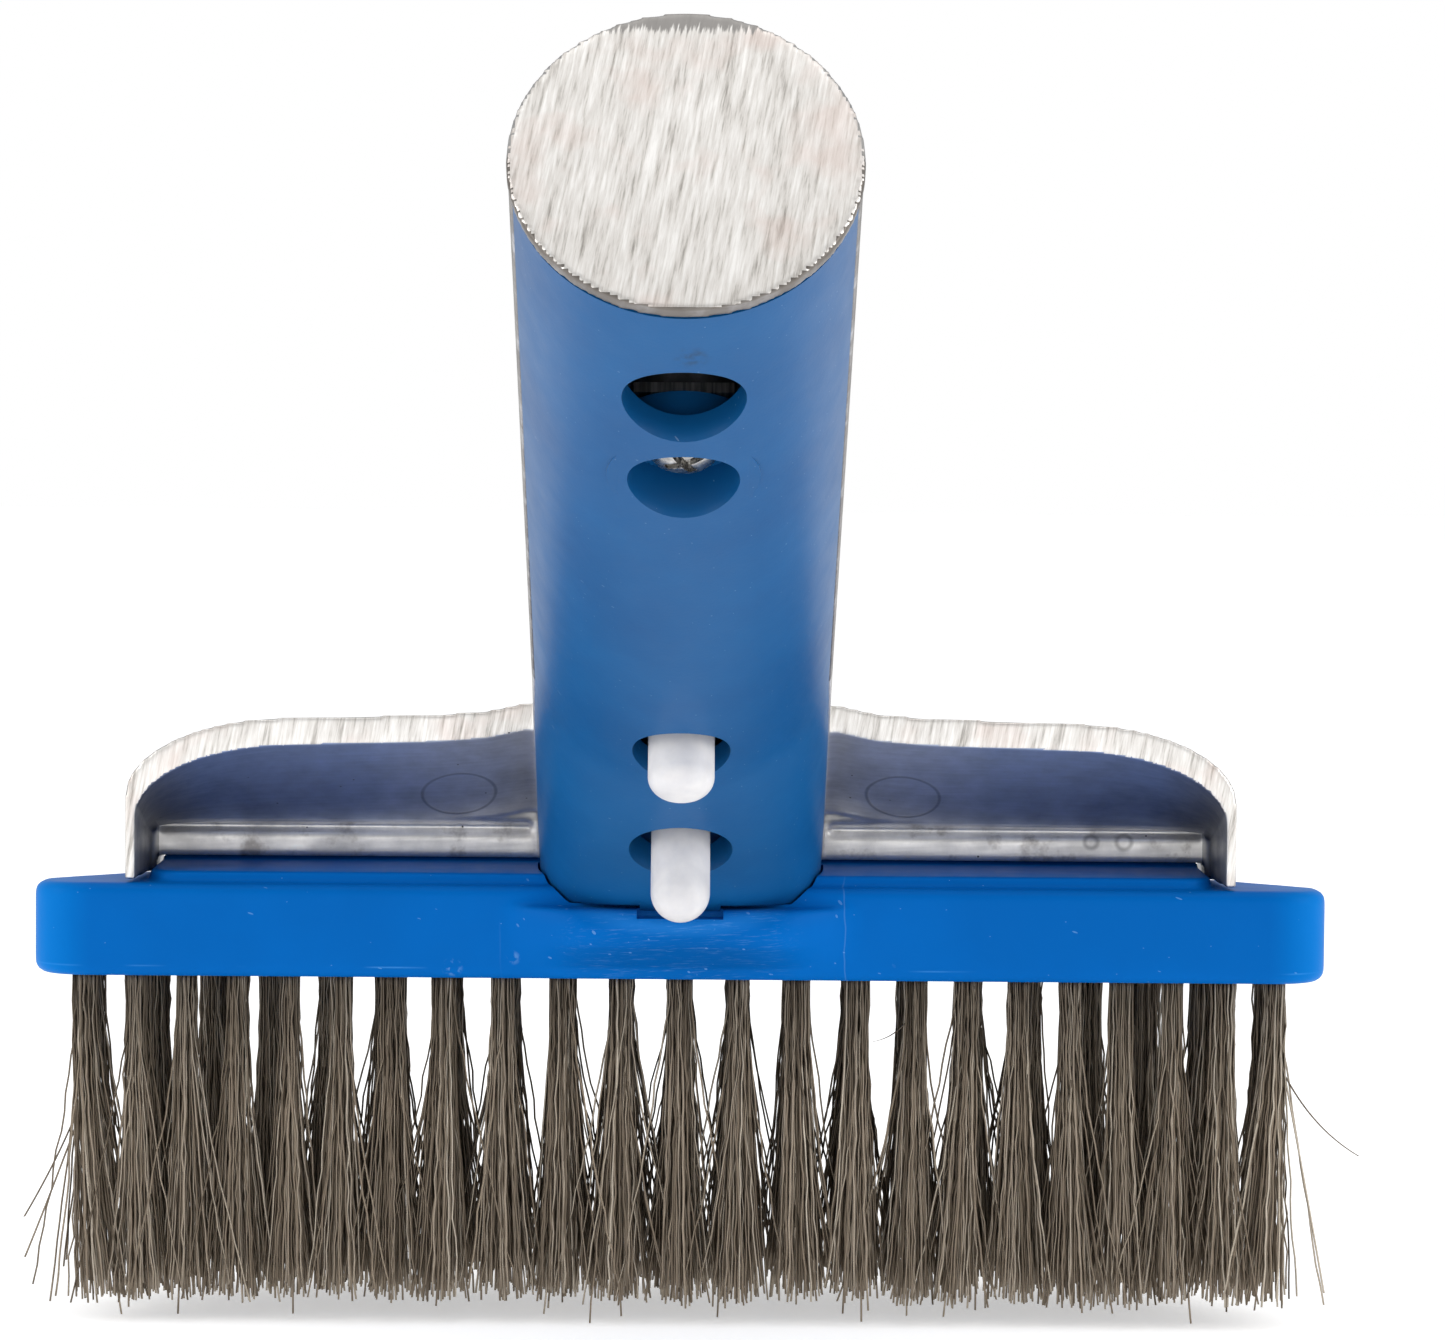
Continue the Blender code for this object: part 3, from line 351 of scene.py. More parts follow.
def castAluminium():
    # die-cast aluminium as it leaves the mould: a dull grey skin with stains, pits and rub marks
    made, tree, shader, coords = newMaterial("castAluminium", {"Metallic": 0.7})
    mottle = addNode(tree, "ShaderNodeTexNoise", {"Scale": perMetre(4), "Detail": 6.0, "Roughness": 0.6},
                     {"Vector": coords})
    rubs = addNode(tree, "ShaderNodeTexNoise", {"Scale": 1.0, "Detail": 3.0},
                   {"Vector": stretched(tree, coords, (0, 3, 0), (9, 0.5, 0.5))})
    mixed = addNode(tree, "ShaderNodeMath", {"operation": "MULTIPLY_ADD", 1: 0.35},
                    {0: rubs.outputs[0], 2: mottle.outputs[0]})
    tone = addNode(tree, "ShaderNodeValToRGB", {"stops": [(0.45, "#8E8E90"), (0.66, "#A2A1A0"),
                   (0.9, "#B4B2AF")]}, {"Fac": mixed.outputs[0]})
    pits = addNode(tree, "ShaderNodeTexVoronoi", {"Scale": perMetre(1.3)}, {"Vector": coords})
    pitShare = addNode(tree, "ShaderNodeMapRange", {"From Min": 0.05, "From Max": 0.1, "To Min": 1.0,
                       "To Max": 0.0}, {"Value": pits.outputs["Distance"]})
    pitColor = addNode(tree, "ShaderNodeSeparateColor", {}, {0: pits.outputs["Color"]})
    fewPits = addNode(tree, "ShaderNodeMath", {"operation": "LESS_THAN", 1: 0.12},
                      {0: pitColor.outputs[0]})
    pitMask = addNode(tree, "ShaderNodeMath", {"operation": "MULTIPLY"},
                      {0: pitShare.outputs[0], 1: fewPits.outputs[0]})
    # under the wings the faces that look down are painted a blue grey, bluer and darker away from the handle:
    # a painted reflection of the blue deck and painted shade; the ledge is painted brighter as painted light,
    # and stained
    place = addNode(tree, "ShaderNodeSeparateXYZ", {}, {0: coords})
    facing = addNode(tree, "ShaderNodeNewGeometry", {}).outputs["Normal"]
    way = addNode(tree, "ShaderNodeSeparateXYZ", {}, {0: facing})
    aside = combined(tree, "ABSOLUTE", place.outputs["X"], 0.0)
    along = between(tree, aside, 0.014, 0.053)
    # painted reflection of the blue deck and painted shade, by distance from the handle
    paintedBounceAndShade = addNode(tree, "ShaderNodeValToRGB", {"stops": [(0.0, "#D2D3D8"), (0.16, "#C2C6D2"),
                   (0.45, "#9CAAC6"), (0.85, "#8193B8"), (1.0, "#6C6E76")]}, {"Fac": along})
    shade = addNode(tree, "ShaderNodeMapRange", {"From Min": 0.4, "From Max": 0.9, "To Min": 0.72,
                    "To Max": 1.15}, {"Value": mixed.outputs[0]})
    pocket = addNode(tree, "ShaderNodeMix", {"data_type": "RGBA", "blend_type": "MULTIPLY", 0: 1.0},
                     {6: paintedBounceAndShade.outputs[0], 7: shade.outputs[0]})
    facesDown = between(tree, combined(tree, "MULTIPLY", way.outputs["Z"], -1.0), 0.2, 0.4)
    skinAndPaintedBounce = addNode(tree, "ShaderNodeMix", {"data_type": "RGBA"},
                       {0: facesDown, 6: tone.outputs[0], 7: pocket.outputs[2]})
    belowCeiling = between(tree, combined(tree, "MULTIPLY", place.outputs["Z"], -1.0), -rimZ - 0.0052,
                           -rimZ - 0.0046)
    inFront = between(tree, combined(tree, "MULTIPLY", place.outputs["Y"], -1.0), -frontY - 0.0168,
                      -frontY - 0.0162)
    facesFront = between(tree, combined(tree, "MULTIPLY", way.outputs["Y"], -1.0), 0.2, 0.5)
    ledge = combined(tree, "MULTIPLY", combined(tree, "MULTIPLY", belowCeiling, inFront), facesFront)
    ledge = combined(tree, "MULTIPLY", ledge, combined(tree, "LESS_THAN", aside, 0.0525))
    # painted light: the ledge's face, which looks up and forward, is painted near white
    paintedLedgeLight = addNode(tree, "ShaderNodeMix", {"data_type": "RGBA", "blend_type": "MULTIPLY", 0: 1.0,
                       6: hexToLinear("#F4F1EC")}, {7: shade.outputs[0]})
    ledgeAndPaintedLight = addNode(tree, "ShaderNodeMix", {"data_type": "RGBA"},
                        {0: ledge, 6: skinAndPaintedBounce.outputs[2], 7: paintedLedgeLight.outputs[2]})
    brown = addNode(tree, "ShaderNodeTexNoise", {"Scale": perMetre(3.5), "Detail": 4.0, "Roughness": 0.6},
                    {"Vector": coords})
    stain = combined(tree, "MULTIPLY", combined(tree, "MULTIPLY", ledge, 0.5),
                     between(tree, brown.outputs[0], 0.55, 0.68))
    color = tinted(tree, ledgeAndPaintedLight.outputs[2], stain, "#6A5B4C")
    for x, z, radius in castMarks["rings"]:
        spot = onBlock(x, castMarks["ringFront"], z)
        ring = combined(tree, "SUBTRACT", nearPlace(tree, coords, spot, radius, 0.0002),
                        nearPlace(tree, coords, spot, radius - 0.0003, 0.0002))
        color = tinted(tree, color, combined(tree, "MULTIPLY", ring, 0.6), "#4A4743")
    # round marks left by the ejector pins
    flat = addNode(tree, "ShaderNodeCombineXYZ", {}, {0: aside, 1: place.outputs["Y"]}).outputs[0]
    middle = (castMarks["ejector"][0], frontY + castMarks["ejector"][1], 0)
    ejector = combined(tree, "SUBTRACT", *(nearPlace(tree, flat, middle, radius, 0.00008)
                                           for radius in castMarks["ejectorRadii"]))
    ejector = combined(tree, "MULTIPLY", ejector, facesDown)
    color = tinted(tree, color, combined(tree, "MULTIPLY", ejector, 0.45), "#3C4254")
    # brown grey darkening in the joint with the cover and round the collar
    backWay, upWay = (handleFrame.to_3x3() @ Vector(way) for way in ((0, 1, 0), (0, 0, 1)))
    depth = addNode(tree, "ShaderNodeVectorMath", {"operation": "DOT_PRODUCT", 1: backWay}, {0: coords})
    climb = addNode(tree, "ShaderNodeVectorMath", {"operation": "DOT_PRODUCT", 1: upWay}, {0: coords})
    axisDepth = backWay.dot(handleFrame.translation)
    joint = between(tree, combined(tree, "MULTIPLY", depth.outputs["Value"], -1.0),
                    -axisDepth - 0.0012, -axisDepth + 0.0004)
    joint = combined(tree, "MULTIPLY", joint, combined(tree, "GREATER_THAN", climb.outputs["Value"],
                                                       upWay.dot(handleFrame.translation) + 0.045))
    joint = combined(tree, "MULTIPLY", joint, between(tree, brown.outputs[0], 0.2, 0.5))
    color = tinted(tree, color, combined(tree, "MULTIPLY", joint, 0.75), "#57514B")
    collar = combined(tree, "GREATER_THAN", climb.outputs["Value"],
                      upWay.dot(handleFrame.translation) + handle["end"] - 0.0002)
    collar = combined(tree, "MULTIPLY", collar,
                      combined(tree, "LESS_THAN", depth.outputs["Value"], axisDepth))
    color = tinted(tree, color, combined(tree, "MULTIPLY", collar, 0.6), "#6F6861")
    tree.links.new(tinted(tree, color, pitMask.outputs[0], "#3A3634"), shader.inputs["Base Color"])
    sunk = combined(tree, "MAXIMUM", pitMask.outputs[0], ejector)
    relief = addNode(tree, "ShaderNodeMath", {"operation": "MULTIPLY_ADD", 1: -1.0},
                     {0: sunk, 2: mixed.outputs[0]})
    finishSurface(tree, shader, mixed.outputs[0],
                  {"From Min": 0.4, "From Max": 0.9, "To Min": 0.5, "To Max": 0.34},
                  relief.outputs[0], 0.3, 0.0001)
    return made


def whiteNylonMoulded():
    # moulded white nylon: a waxy, faintly grey white with soft edges to its shading
    made, tree, shader, coords = newMaterial("whiteNylonMoulded", {
        "IOR": 1.53, "Subsurface Weight": 0.25, "Subsurface Scale": 0.0006,
        "Subsurface Radius": (1.0, 0.9, 0.8)})
    cloud = addNode(tree, "ShaderNodeTexNoise", {"Scale": perMetre(2.5), "Detail": 4.0},
                    {"Vector": coords})
    base = addNode(tree, "ShaderNodeValToRGB", {"stops": [(0.35, "#D6D5D8"), (0.7, "#E6E4E4")]},
                   {"Fac": cloud.outputs[0]})
    tree.links.new(base.outputs[0], shader.inputs["Base Color"])
    grain = addNode(tree, "ShaderNodeTexNoise", {"Scale": perMetre(0.6), "Detail": 3.0},
                    {"Vector": coords})
    finishSurface(tree, shader, cloud.outputs[0], {"To Min": 0.36, "To Max": 0.5}, grain.outputs[0], 0.08,
                  0.0001)
    return made


def stainlessSteel(name, streak, roughness):
    # rolled or turned stainless steel: bright and cool, with fine lines left by the tool
    made, tree, shader, coords = newMaterial(name, {"Metallic": 1.0})
    drawn = addNode(tree, "ShaderNodeMapping", {"Scale": streak}, {"Vector": coords})
    lines = addNode(tree, "ShaderNodeTexNoise", {"Scale": 1.0, "Detail": 3.0}, {"Vector": drawn.outputs[0]})
    tone = addNode(tree, "ShaderNodeValToRGB", {"stops": [(0.35, "#9C9A97"), (0.65, "#D8D6D2")]},
                   {"Fac": lines.outputs[0]})
    tree.links.new(tone.outputs[0], shader.inputs["Base Color"])
    finishSurface(tree, shader, lines.outputs[0], {"To Min": roughness, "To Max": roughness + 0.15},
                  lines.outputs[0], 0.15, 0.00005)
    return made


def stainlessWire():
    # hard-drawn stainless wire: each wire its own taupe grey, dull from drawing
    made, tree, shader, coords = newMaterial("stainlessWireDrawn", {"Metallic": 0.75})
    each = addNode(tree, "ShaderNodeAttribute", {"attribute_name": "wireTone"})
    tone = addNode(tree, "ShaderNodeValToRGB", {"stops": [(0.0, "#62574A"), (0.5, "#968877"),
                   (1.0, "#D2C7B6")]}, {"Fac": each.outputs["Fac"]})
    along = addNode(tree, "ShaderNodeTexNoise", {"Scale": perMetre(1.5), "Detail": 2.0},
                    {"Vector": coords})
    shade = addNode(tree, "ShaderNodeMapRange", {"To Min": 0.75, "To Max": 1.15},
                    {"Value": along.outputs[0]})
    # painted shade: darker near the block, where the wires are packed tight under it
    level = addNode(tree, "ShaderNodeSeparateXYZ", {}, {0: coords})
    low = rimZ - block["height"]
    shadeNearBlock = addNode(tree, "ShaderNodeMapRange", {"From Min": low - 0.013, "From Max": low - 0.002,
                     "To Min": 1.0, "To Max": 0.58}, {"Value": level.outputs["Z"]})
    both = combined(tree, "MULTIPLY", shade.outputs[0], shadeNearBlock.outputs[0])
    color = addNode(tree, "ShaderNodeMix", {"data_type": "RGBA", "blend_type": "MULTIPLY", 0: 1.0},
                    {6: tone.outputs[0], 7: both})
    tree.links.new(color.outputs[2], shader.inputs["Base Color"])
    rough = addNode(tree, "ShaderNodeMapRange", {"To Min": 0.36, "To Max": 0.52},
                    {"Value": along.outputs[0]})
    tree.links.new(rough.outputs[0], shader.inputs["Roughness"])
    return made


absBlue = blueAbsMoulded()
nylonBlue = blueNylonMoulded()
aluminiumGround = groundAluminium()
aluminiumCast = castAluminium()
nylonWhite = whiteNylonMoulded()
steelRolled = stainlessSteel("stainlessSteelRolled", (perMetre(0.3), perMetre(6), perMetre(6)), 0.28)
steelTurned = stainlessSteel("stainlessSteelTurned", (perMetre(0.8),) * 3, 0.2)
wireSteel = stainlessWire()
print("materials made")


# ---- shapes ----

def finishPiece(name, mesh, material, place=Matrix.Identity(4), sharp=35):
    mesh.transform(place)
    made = bpy.data.objects.new(name, mesh)
    bpy.context.scene.collection.objects.link(made)
    if material:
        mesh.materials.clear()
        mesh.materials.append(material)
        mesh.shade_smooth()
        mesh.set_sharp_from_angle(angle=math.radians(sharp))
    return made


def meshFrom(name, bm):
    bmesh.ops.recalc_face_normals(bm, faces=bm.faces)
    mesh = bpy.data.meshes.new(name)
    bm.to_mesh(mesh)
    bm.free()
    return mesh


def boxPiece(low, high, place):
    low, high = Vector(low), Vector(high)
    bm = bmesh.new()
    bmesh.ops.create_cube(bm, size=1)
    for vert in bm.verts:
        vert.co = [a + (b - a) * (c + 0.5) for a, b, c in zip(low, high, vert.co)]
    return finishPiece("cutter", meshFrom("cutter", bm), None, place)


def skin(rings):
    # a skin over rings of points, capped at both ends
    bm = bmesh.new()
    rows = [[bm.verts.new(point) for point in ring] for ring in rings]
    for lower, upper in zip(rows, rows[1:]):
        for i in range(len(lower)):
            j = (i + 1) % len(lower)
            bm.faces.new((lower[i], lower[j], upper[j], upper[i]))
    bm.faces.new(rows[0])
    bm.faces.new(rows[-1])
    return meshFrom("skin", bm)


def turnedMesh(profile, sides):
    # radius and height pairs, from one end to the other, turned about Z
    rings = []
    for radius, height in profile:
        radius = max(radius, 1e-6)
        rings.append([(radius * math.cos(a), radius * math.sin(a), height)
                      for a in (2 * math.pi * i / sides for i in range(sides))])
    return skin(rings)


def acrossHandle(height):
    # the frame of a hole or pin through the cover: Z runs from the axis out of the cover
    return handleFrame @ Matrix.Translation((0, 0, height)) @ Matrix.Rotation(math.pi / 2, 4, "X")


def cut(target, tool, operation="DIFFERENCE"):
    step = target.modifiers.new("cut", "BOOLEAN")
    step.operation = operation
    step.object = tool
    step.solver = "EXACT"


def applied(target):
    # the finished mesh, with the modifiers built in and the cutters cleared away
    tools = {step.object for step in target.modifiers if step.type == "BOOLEAN"}
    bpy.context.view_layer.update()
    mesh = bpy.data.meshes.new_from_object(target.evaluated_get(bpy.context.evaluated_depsgraph_get()))
    for gone in [target, *tools]:
        bpy.data.objects.remove(gone)
    return mesh


def softened(name, mesh, voxel, rounding, keep, material, tools=()):
    # voxel remesh and smoothing: the rounded edges and fillets of a casting or moulding
    piece = finishPiece(name, mesh, None)
    for tool in tools:
        cut(piece, tool)
    remesh = piece.modifiers.new("remesh", "REMESH")
    remesh.mode = "VOXEL"
    remesh.voxel_size = voxel
    smooth = piece.modifiers.new("smooth", "SMOOTH")
    smooth.factor = 0.5
    smooth.iterations = rounding
    fewer = piece.modifiers.new("fewer", "DECIMATE")
    fewer.ratio = keep
    return finishPiece(name, applied(piece), material, sharp=70)


def welded(node):
    bm = bmesh.new()
    bm.from_mesh(nodes[node].data)
    bmesh.ops.remove_doubles(bm, verts=bm.verts, dist=2e-6)
    mesh = bpy.data.meshes.new(node)
    bm.to_mesh(mesh)
    bm.free()
    return mesh


def arcPoints(center, radii, start, end, steps):
    turns = [math.radians(start + (end - start) * i / steps) for i in range(steps + 1)]
    return [(center[0] + radii[0] * math.cos(a), center[1] + radii[1] * math.sin(a)) for a in turns]


def mirroredOutline(half):
    return half + [(-x, y) for x, y in reversed(half) if x > 0]


def signedPower(value, exponent):
    return math.copysign(abs(value) ** exponent, value)


def handleSkin(low, high, grow=0.0):
    # the handle's outside: a circle that turns squarer at the foot
    count = max(2, round((high - low) / handle["ringStep"]))
    rings = []
    for step in range(count + 1):
        height = low + (high - low) * step / count
        span = handle["roundFrom"] - handle["squareUntil"]
        share = min(max((handle["roundFrom"] - height) / span, 0), 1)
        exponent = 2 / (2 + (handle["squareness"] - 2) * share)
        radius = handle["radius"] + grow
        turns = [2 * math.pi * i / handle["sides"] for i in range(handle["sides"])]
        rings.append([(radius * signedPower(math.cos(a), exponent),
                       radius * signedPower(math.sin(a), exponent), height) for a in turns])
    return skin(rings)


def prism(outline, low, high):
    bm = bmesh.new()
    rows = [[bm.verts.new((x, y, z)) for x, y in outline] for z in (low, high)]
    bm.faces.new(rows[0])
    bm.faces.new(rows[1])
    for i in range(len(outline)):
        j = (i + 1) % len(outline)
        bm.faces.new((rows[0][i], rows[0][j], rows[1][j], rows[1][i]))
    return meshFrom("prism", bm)


# ---- the ABS block ----

def blockHalfWidth(y):
    wide, deep = block["taper"]
    return block["length"] / 2 - max(y - block["sideDepth"], 0) * wide / deep


def blockRing(z, inset, swelling, fall):
    # one level of the block: its plan outline, with the front swelled out under the cover
    half, back, corner = block["length"] / 2 - inset, block["depth"] - inset, block["frontCorner"]
    wide, deep = block["taper"]
    outline = []
    for x in np.linspace(0, half - corner + inset, 60):
        fade = min(max((x - fairing["fullWidth"]) / fairing["fade"], 0), 1)
        bell = 0.5 + 0.5 * math.cos(math.pi * fade)
        outline.append((x, inset - fairing["reach"] * swelling * bell))
    outline += arcPoints((half - corner + inset, corner), (corner - inset, corner - inset), -90, 0, 16)[1:]
    outline += [(half, block["sideDepth"]), (half - wide, block["sideDepth"] + deep),
                (half - wide - (back - block["sideDepth"] - deep) * 1.5, back)]
    return [(x, y, z - fall * block["rimFall"] * y) for x, y in mirroredOutline(outline)]


def buildBlock():
    edge, height = block["edge"], block["height"]
    turns = [math.radians(step) for step in (0, 18, 36, 54, 72, 90)]
    rings = [blockRing(-height + edge * (1 - math.sin(a)), edge * (1 - math.cos(a)), 0, 0)
             for a in reversed(turns)]
    rings += [blockRing(z, 0, swelling, 0) for z, swelling in fairing["profile"][2:]]
    rings.append(blockRing(fairing["profile"][-1][0] + 0.00002, 0, 0, 0))
    rings += [blockRing(-edge * (1 - math.sin(a)), edge * (1 - math.cos(a)), 0, 1) for a in turns]
    body = finishPiece("blockBody", skin(rings), None, blockFrame)

    corner, half = deck["corner"], deck["halfLength"]
    outline = mirroredOutline(
        arcPoints((half - corner, deck["front"] + corner), (corner, corner), -90, 0, 10)
        + [(half, deck["straightTo"]), (blockHalfWidth(deck["back"]) - 2 * corner, deck["back"])])
    cut(body, finishPiece("deck", prism(outline, -block["height"] / 2, deck["height"]), None, blockFrame),
        "UNION")
    # the casting's flange sits on a low pad behind its ledge
    pad = mirroredOutline([(half, deck["padFront"]), (half, deck["straightTo"]),
                           (blockHalfWidth(deck["back"]) - 2 * corner, deck["back"])])
    cut(body, finishPiece("pad", prism(pad, 0, deck["padHeight"]), None, blockFrame), "UNION")
    body = softened("softBlock", applied(body), block["voxel"], block["rounding"], block["keep"], absBlue)

    saddleFloor = -cover["drop"] - block["seam"]
    room = handleSkin(handle["below"], handle["saddleTop"], block["seam"])
    saddle = finishPiece("saddle", room, None, handleFrame)
    cut(saddle, boxPiece((-far, -far, -far), (far, far, saddleFloor), blockFrame))
    cut(saddle, boxPiece((-far, block["seam"] - handle["parting"], -far), (far, far, far), handleFrame))
    cut(body, finishPiece("saddle", applied(saddle), None))
    slotWidth = cover["tabHalfWidth"] + cover["gap"]
    cut(body, boxPiece((-slotWidth, -far, saddleFloor - cover["tabLength"]),
                       (slotWidth, cover["tabThickness"] - fairing["reach"], far), blockFrame))
    made = finishPiece("absBlock", applied(body), absBlue, sharp=40)
    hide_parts("brush_block")
    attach(made, "brush")


buildBlock()
print("block moulded")


# ---- the handle cover ----

def trumpet(radius, bottom):
    # a hole cutter with a rounded lip that opens out over the curved cover
    outside, lip, deep = handle["radius"] + 0.0012, cover["lip"], cover["flareDepth"]
    flare = [(radius + lip * cover["flareWidth"] * (1 - math.cos(a)), outside - deep + deep * math.sin(a))
             for a in (math.radians(step) for step in range(0, 91, 10))]
    return turnedMesh([(radius, bottom), *flare, (flare[-1][0] + 0.001, outside + 0.004)], 72)


def buildCover():
    shell = handleSkin(handle["below"], handle["end"], -cover["inset"])
    body = finishPiece("coverBody", shell, None, handleFrame)
    bore = handle["radius"] - handle["wall"]
    cut(body, finishPiece("bore", turnedMesh([(bore, -far), (bore, far)], 96), None, handleFrame))
    height, radius = holes["screw"]
    wall = radius + cover["seatWall"]
    seat = cover["screwSeat"] - cover["seatThickness"]
    seatMesh = turnedMesh([(wall, seat), (wall, handle["radius"] - cover["seatSunk"])], 64)
    cut(body, finishPiece("seat", seatMesh, None, acrossHandle(height)), "UNION")
    cut(body, boxPiece((-far, -handle["parting"] - cover["gap"] / 2, -far), (far, far, far), handleFrame))
    cut(body, boxPiece((-far, -far, -far), (far, far, -cover["drop"] - cover["tabLength"]), blockFrame))
    for ends in ((-far, -cover["tabHalfWidth"]), (cover["tabHalfWidth"], far)):
        cut(body, boxPiece((ends[0], -far, -far), (ends[1], far, -cover["drop"]), blockFrame))
    cut(body, boxPiece((-far, cover["tabThickness"] - fairing["reach"] - cover["gap"], -far),
                       (far, far, -cover["drop"]), blockFrame))
    for name, (height, radius) in holes.items():
        bottom = cover["screwSeat"] if name == "screw" else cover["holeBottom"]
        cut(body, finishPiece("hole", trumpet(radius, bottom), None, acrossHandle(height)))
    bore, inside, outside = cover["passage"]
    passage = turnedMesh([(bore, inside), (bore, outside)], 24)
    cut(body, finishPiece("passage", passage, None, acrossHandle(holes["screw"][0])))
    made = finishPiece("nylonCover", applied(body), nylonBlue, sharp=32)
    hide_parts("handle_cover")
    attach(made, "brush")


buildCover()
print("handle cover moulded")


# ---- the cast back ----

casting = {"voxel": 0.0003, "rounding": 5, "keep": 0.4, "groundFront": 0.001, "groundDepth": 0.0004,
           "grooveY": 0.0156, "grooveZ": 0.00435, "grooveRadius": 0.00055, "grooveEnds": (0.0150, 0.0527)}


def buildBack():
    near, away = casting["grooveEnds"]
    radius = casting["grooveRadius"]
    grooves = []
    for side in (-1, 1):
        place = (blockFrame @ Matrix.Translation((0, casting["grooveY"], casting["grooveZ"]))
                 @ Matrix.Rotation(side * math.pi / 2, 4, "Y"))
        grooves.append(finishPiece("groove", turnedMesh([(radius, near), (radius, away)], 24), None, place))
    made = softened("castBack", welded("aluminium_back"), casting["voxel"], casting["rounding"],
                    casting["keep"], aluminiumCast, grooves)
    made.data.materials.append(aluminiumGround)
    endNormal = handleFrame.to_3x3() @ Vector((0, 0, 1))
    endHeight = handleFrame.inverted()
    front = frontY + casting["groundFront"]
    for face in made.data.polygons:
        onFront = face.normal.y < -0.8 and face.center.y < front + casting["groundDepth"]
        onEnd = face.normal.dot(endNormal) > 0.93 and (endHeight @ face.center).z > handle["end"]
        if onEnd or (onFront and abs(face.center.x) > handle["radius"] * 0.9):
            face.material_index = 1
    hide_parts("aluminium_back")
    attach(made, "brush")


buildBack()
print("back cast")


# ---- pins, leaf and screws ----

pins = {"lock_pin": {"height": 0.0510, "radius": 0.00305, "standout": 0.0037, "roundness": 0.6},
        "release_button": {"height": 0.0317, "radius": 0.0028, "standout": 0.0070, "roundness": 1.0}}
leafSize = {"thickness": 0.001, "middle": 0.0078, "neck": 0.0015, "rivet": (0.0026, 0.0014),
            "rivetEdge": 0.0003, "clearance": 0.0003, "brokenEdge": 0.00012}


def buildPin(node, values):
    radius, tip = values["radius"], handle["radius"] + values["standout"]
    roundOff = radius * values["roundness"]
    clear, edge = leafSize["clearance"], leafSize["rivetEdge"]
    shoulder = leafSize["middle"] + leafSize["thickness"] / 2 + clear
    under = leafSize["middle"] - leafSize["thickness"] / 2 - clear
    rivetRadius, rivet = leafSize["rivet"]
    nose = [(radius - roundOff + x, tip - roundOff + z)
            for x, z in arcPoints((0, 0), (roundOff, roundOff), 0, 90, 14)]
    profile = [(0, under - rivet), (rivetRadius - edge, under - rivet), (rivetRadius, under - rivet + edge),
               (rivetRadius, under), (leafSize["neck"], under), (leafSize["neck"], shoulder),
               (radius, shoulder), *nose]
    if values["roundness"] < 1:
        profile.append((0, tip + 0.0001))
    made = finishPiece("nylon_" + node, turnedMesh(profile, 64), nylonWhite, acrossHandle(values["height"]))
    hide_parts(node)
    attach(made, "clip")


for node, values in pins.items():
    buildPin(node, values)


def buildStrip(node, body):
    # a pressed steel strip with its edges broken
    piece = finishPiece("strip", welded(node), None)
    edges = piece.modifiers.new("edges", "BEVEL")
    edges.width = leafSize["brokenEdge"]
    edges.segments = 2
    edges.angle_limit = math.radians(60)
    made = finishPiece("steel_" + node, applied(piece), steelRolled)
    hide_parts(node)
    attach(made, body)


buildStrip("spring_leaf", "clip")
buildStrip("leaf_root", "brush")

screws = {"head": (0.0026, 0.0018), "coverHead": (0.0029, 0.0019), "shank": 0.00145, "recess": 0.55,
          "coverLength": 0.0125, "turned": 0.5, "brokenEdge": 0.00008}


def buildScrew(node, head, place, length):
    radius, height = head
    dome = [(radius * math.sin(a), height * (0.35 + 0.65 * math.cos(a)))
            for a in (math.radians(step) for step in range(90, -1, -9))]
    shank = screws["shank"]
    profile = [(0, -length), (shank * 0.6, -length), (shank, -length + shank * 0.4), (shank, 0), (radius, 0),
               *dome]
    piece = finishPiece("screw", turnedMesh(profile, 40), None, place)
    long, narrow = radius * 0.6, radius * 0.14
    for size in ((long, narrow), (narrow, long)):
        cut(piece, boxPiece((-size[0], -size[1], height * (1 - screws["recess"])),
                            (size[0], size[1], 2 * height), place))
    edges = piece.modifiers.new("edges", "BEVEL")
    edges.width = screws["brokenEdge"]
    edges.segments = 2
    edges.angle_limit = math.radians(50)
    made = finishPiece("steel_" + node, applied(piece), steelTurned)
    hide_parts(node)
    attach(made, "brush")


for node in nodes:
    if node.startswith("block_screw"):
        low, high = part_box(node)
        seat = high.z - screws["head"][1]
        middle = (low + high) / 2
        buildScrew(node, screws["head"], Matrix.Translation((middle.x, middle.y, seat)), seat - low.z)
screwPlace = (acrossHandle(holes["screw"][0])
              @ Matrix.Translation((0, 0, cover["screwSeat"] + cover["gap"]))
              @ Matrix.Rotation(screws["turned"], 4, "Z"))
buildScrew("cover_screw", screws["coverHead"], screwPlace, screws["coverLength"])
print("pins, leaf and screws made")


# ---- the wire tufts ----

wires = {"perTuft": 72, "radius": 0.000115, "points": 18, "rootRadius": 0.00114, "spreadX": 0.0033,
         "spreadY": 0.0036, "crimp": 0.00008, "tipLow": -0.0010, "tipHigh": 0.0012, "strayShare": 0.10,
         "reachShare": 0.02, "lowest": -0.0028, "sunk": 0.0012, "fan": (0.55, 1.15), "fat": (0.85, 1.12),
         "flareFrom": (0.1, 0.34), "strayFrom": (0.04, 0.25), "strayOut": (0.0015, 0.0052),
         "flareCurve": (1.05, 1.5), "goldenAngle": 2.39996}
tuftRows = {"first": 0.0035, "pitch": 0.0072, "margin": 0.0026, "count": 4, "backPitch": 0.00585}
underside = rimZ - block["height"]
floorZ = -0.0030
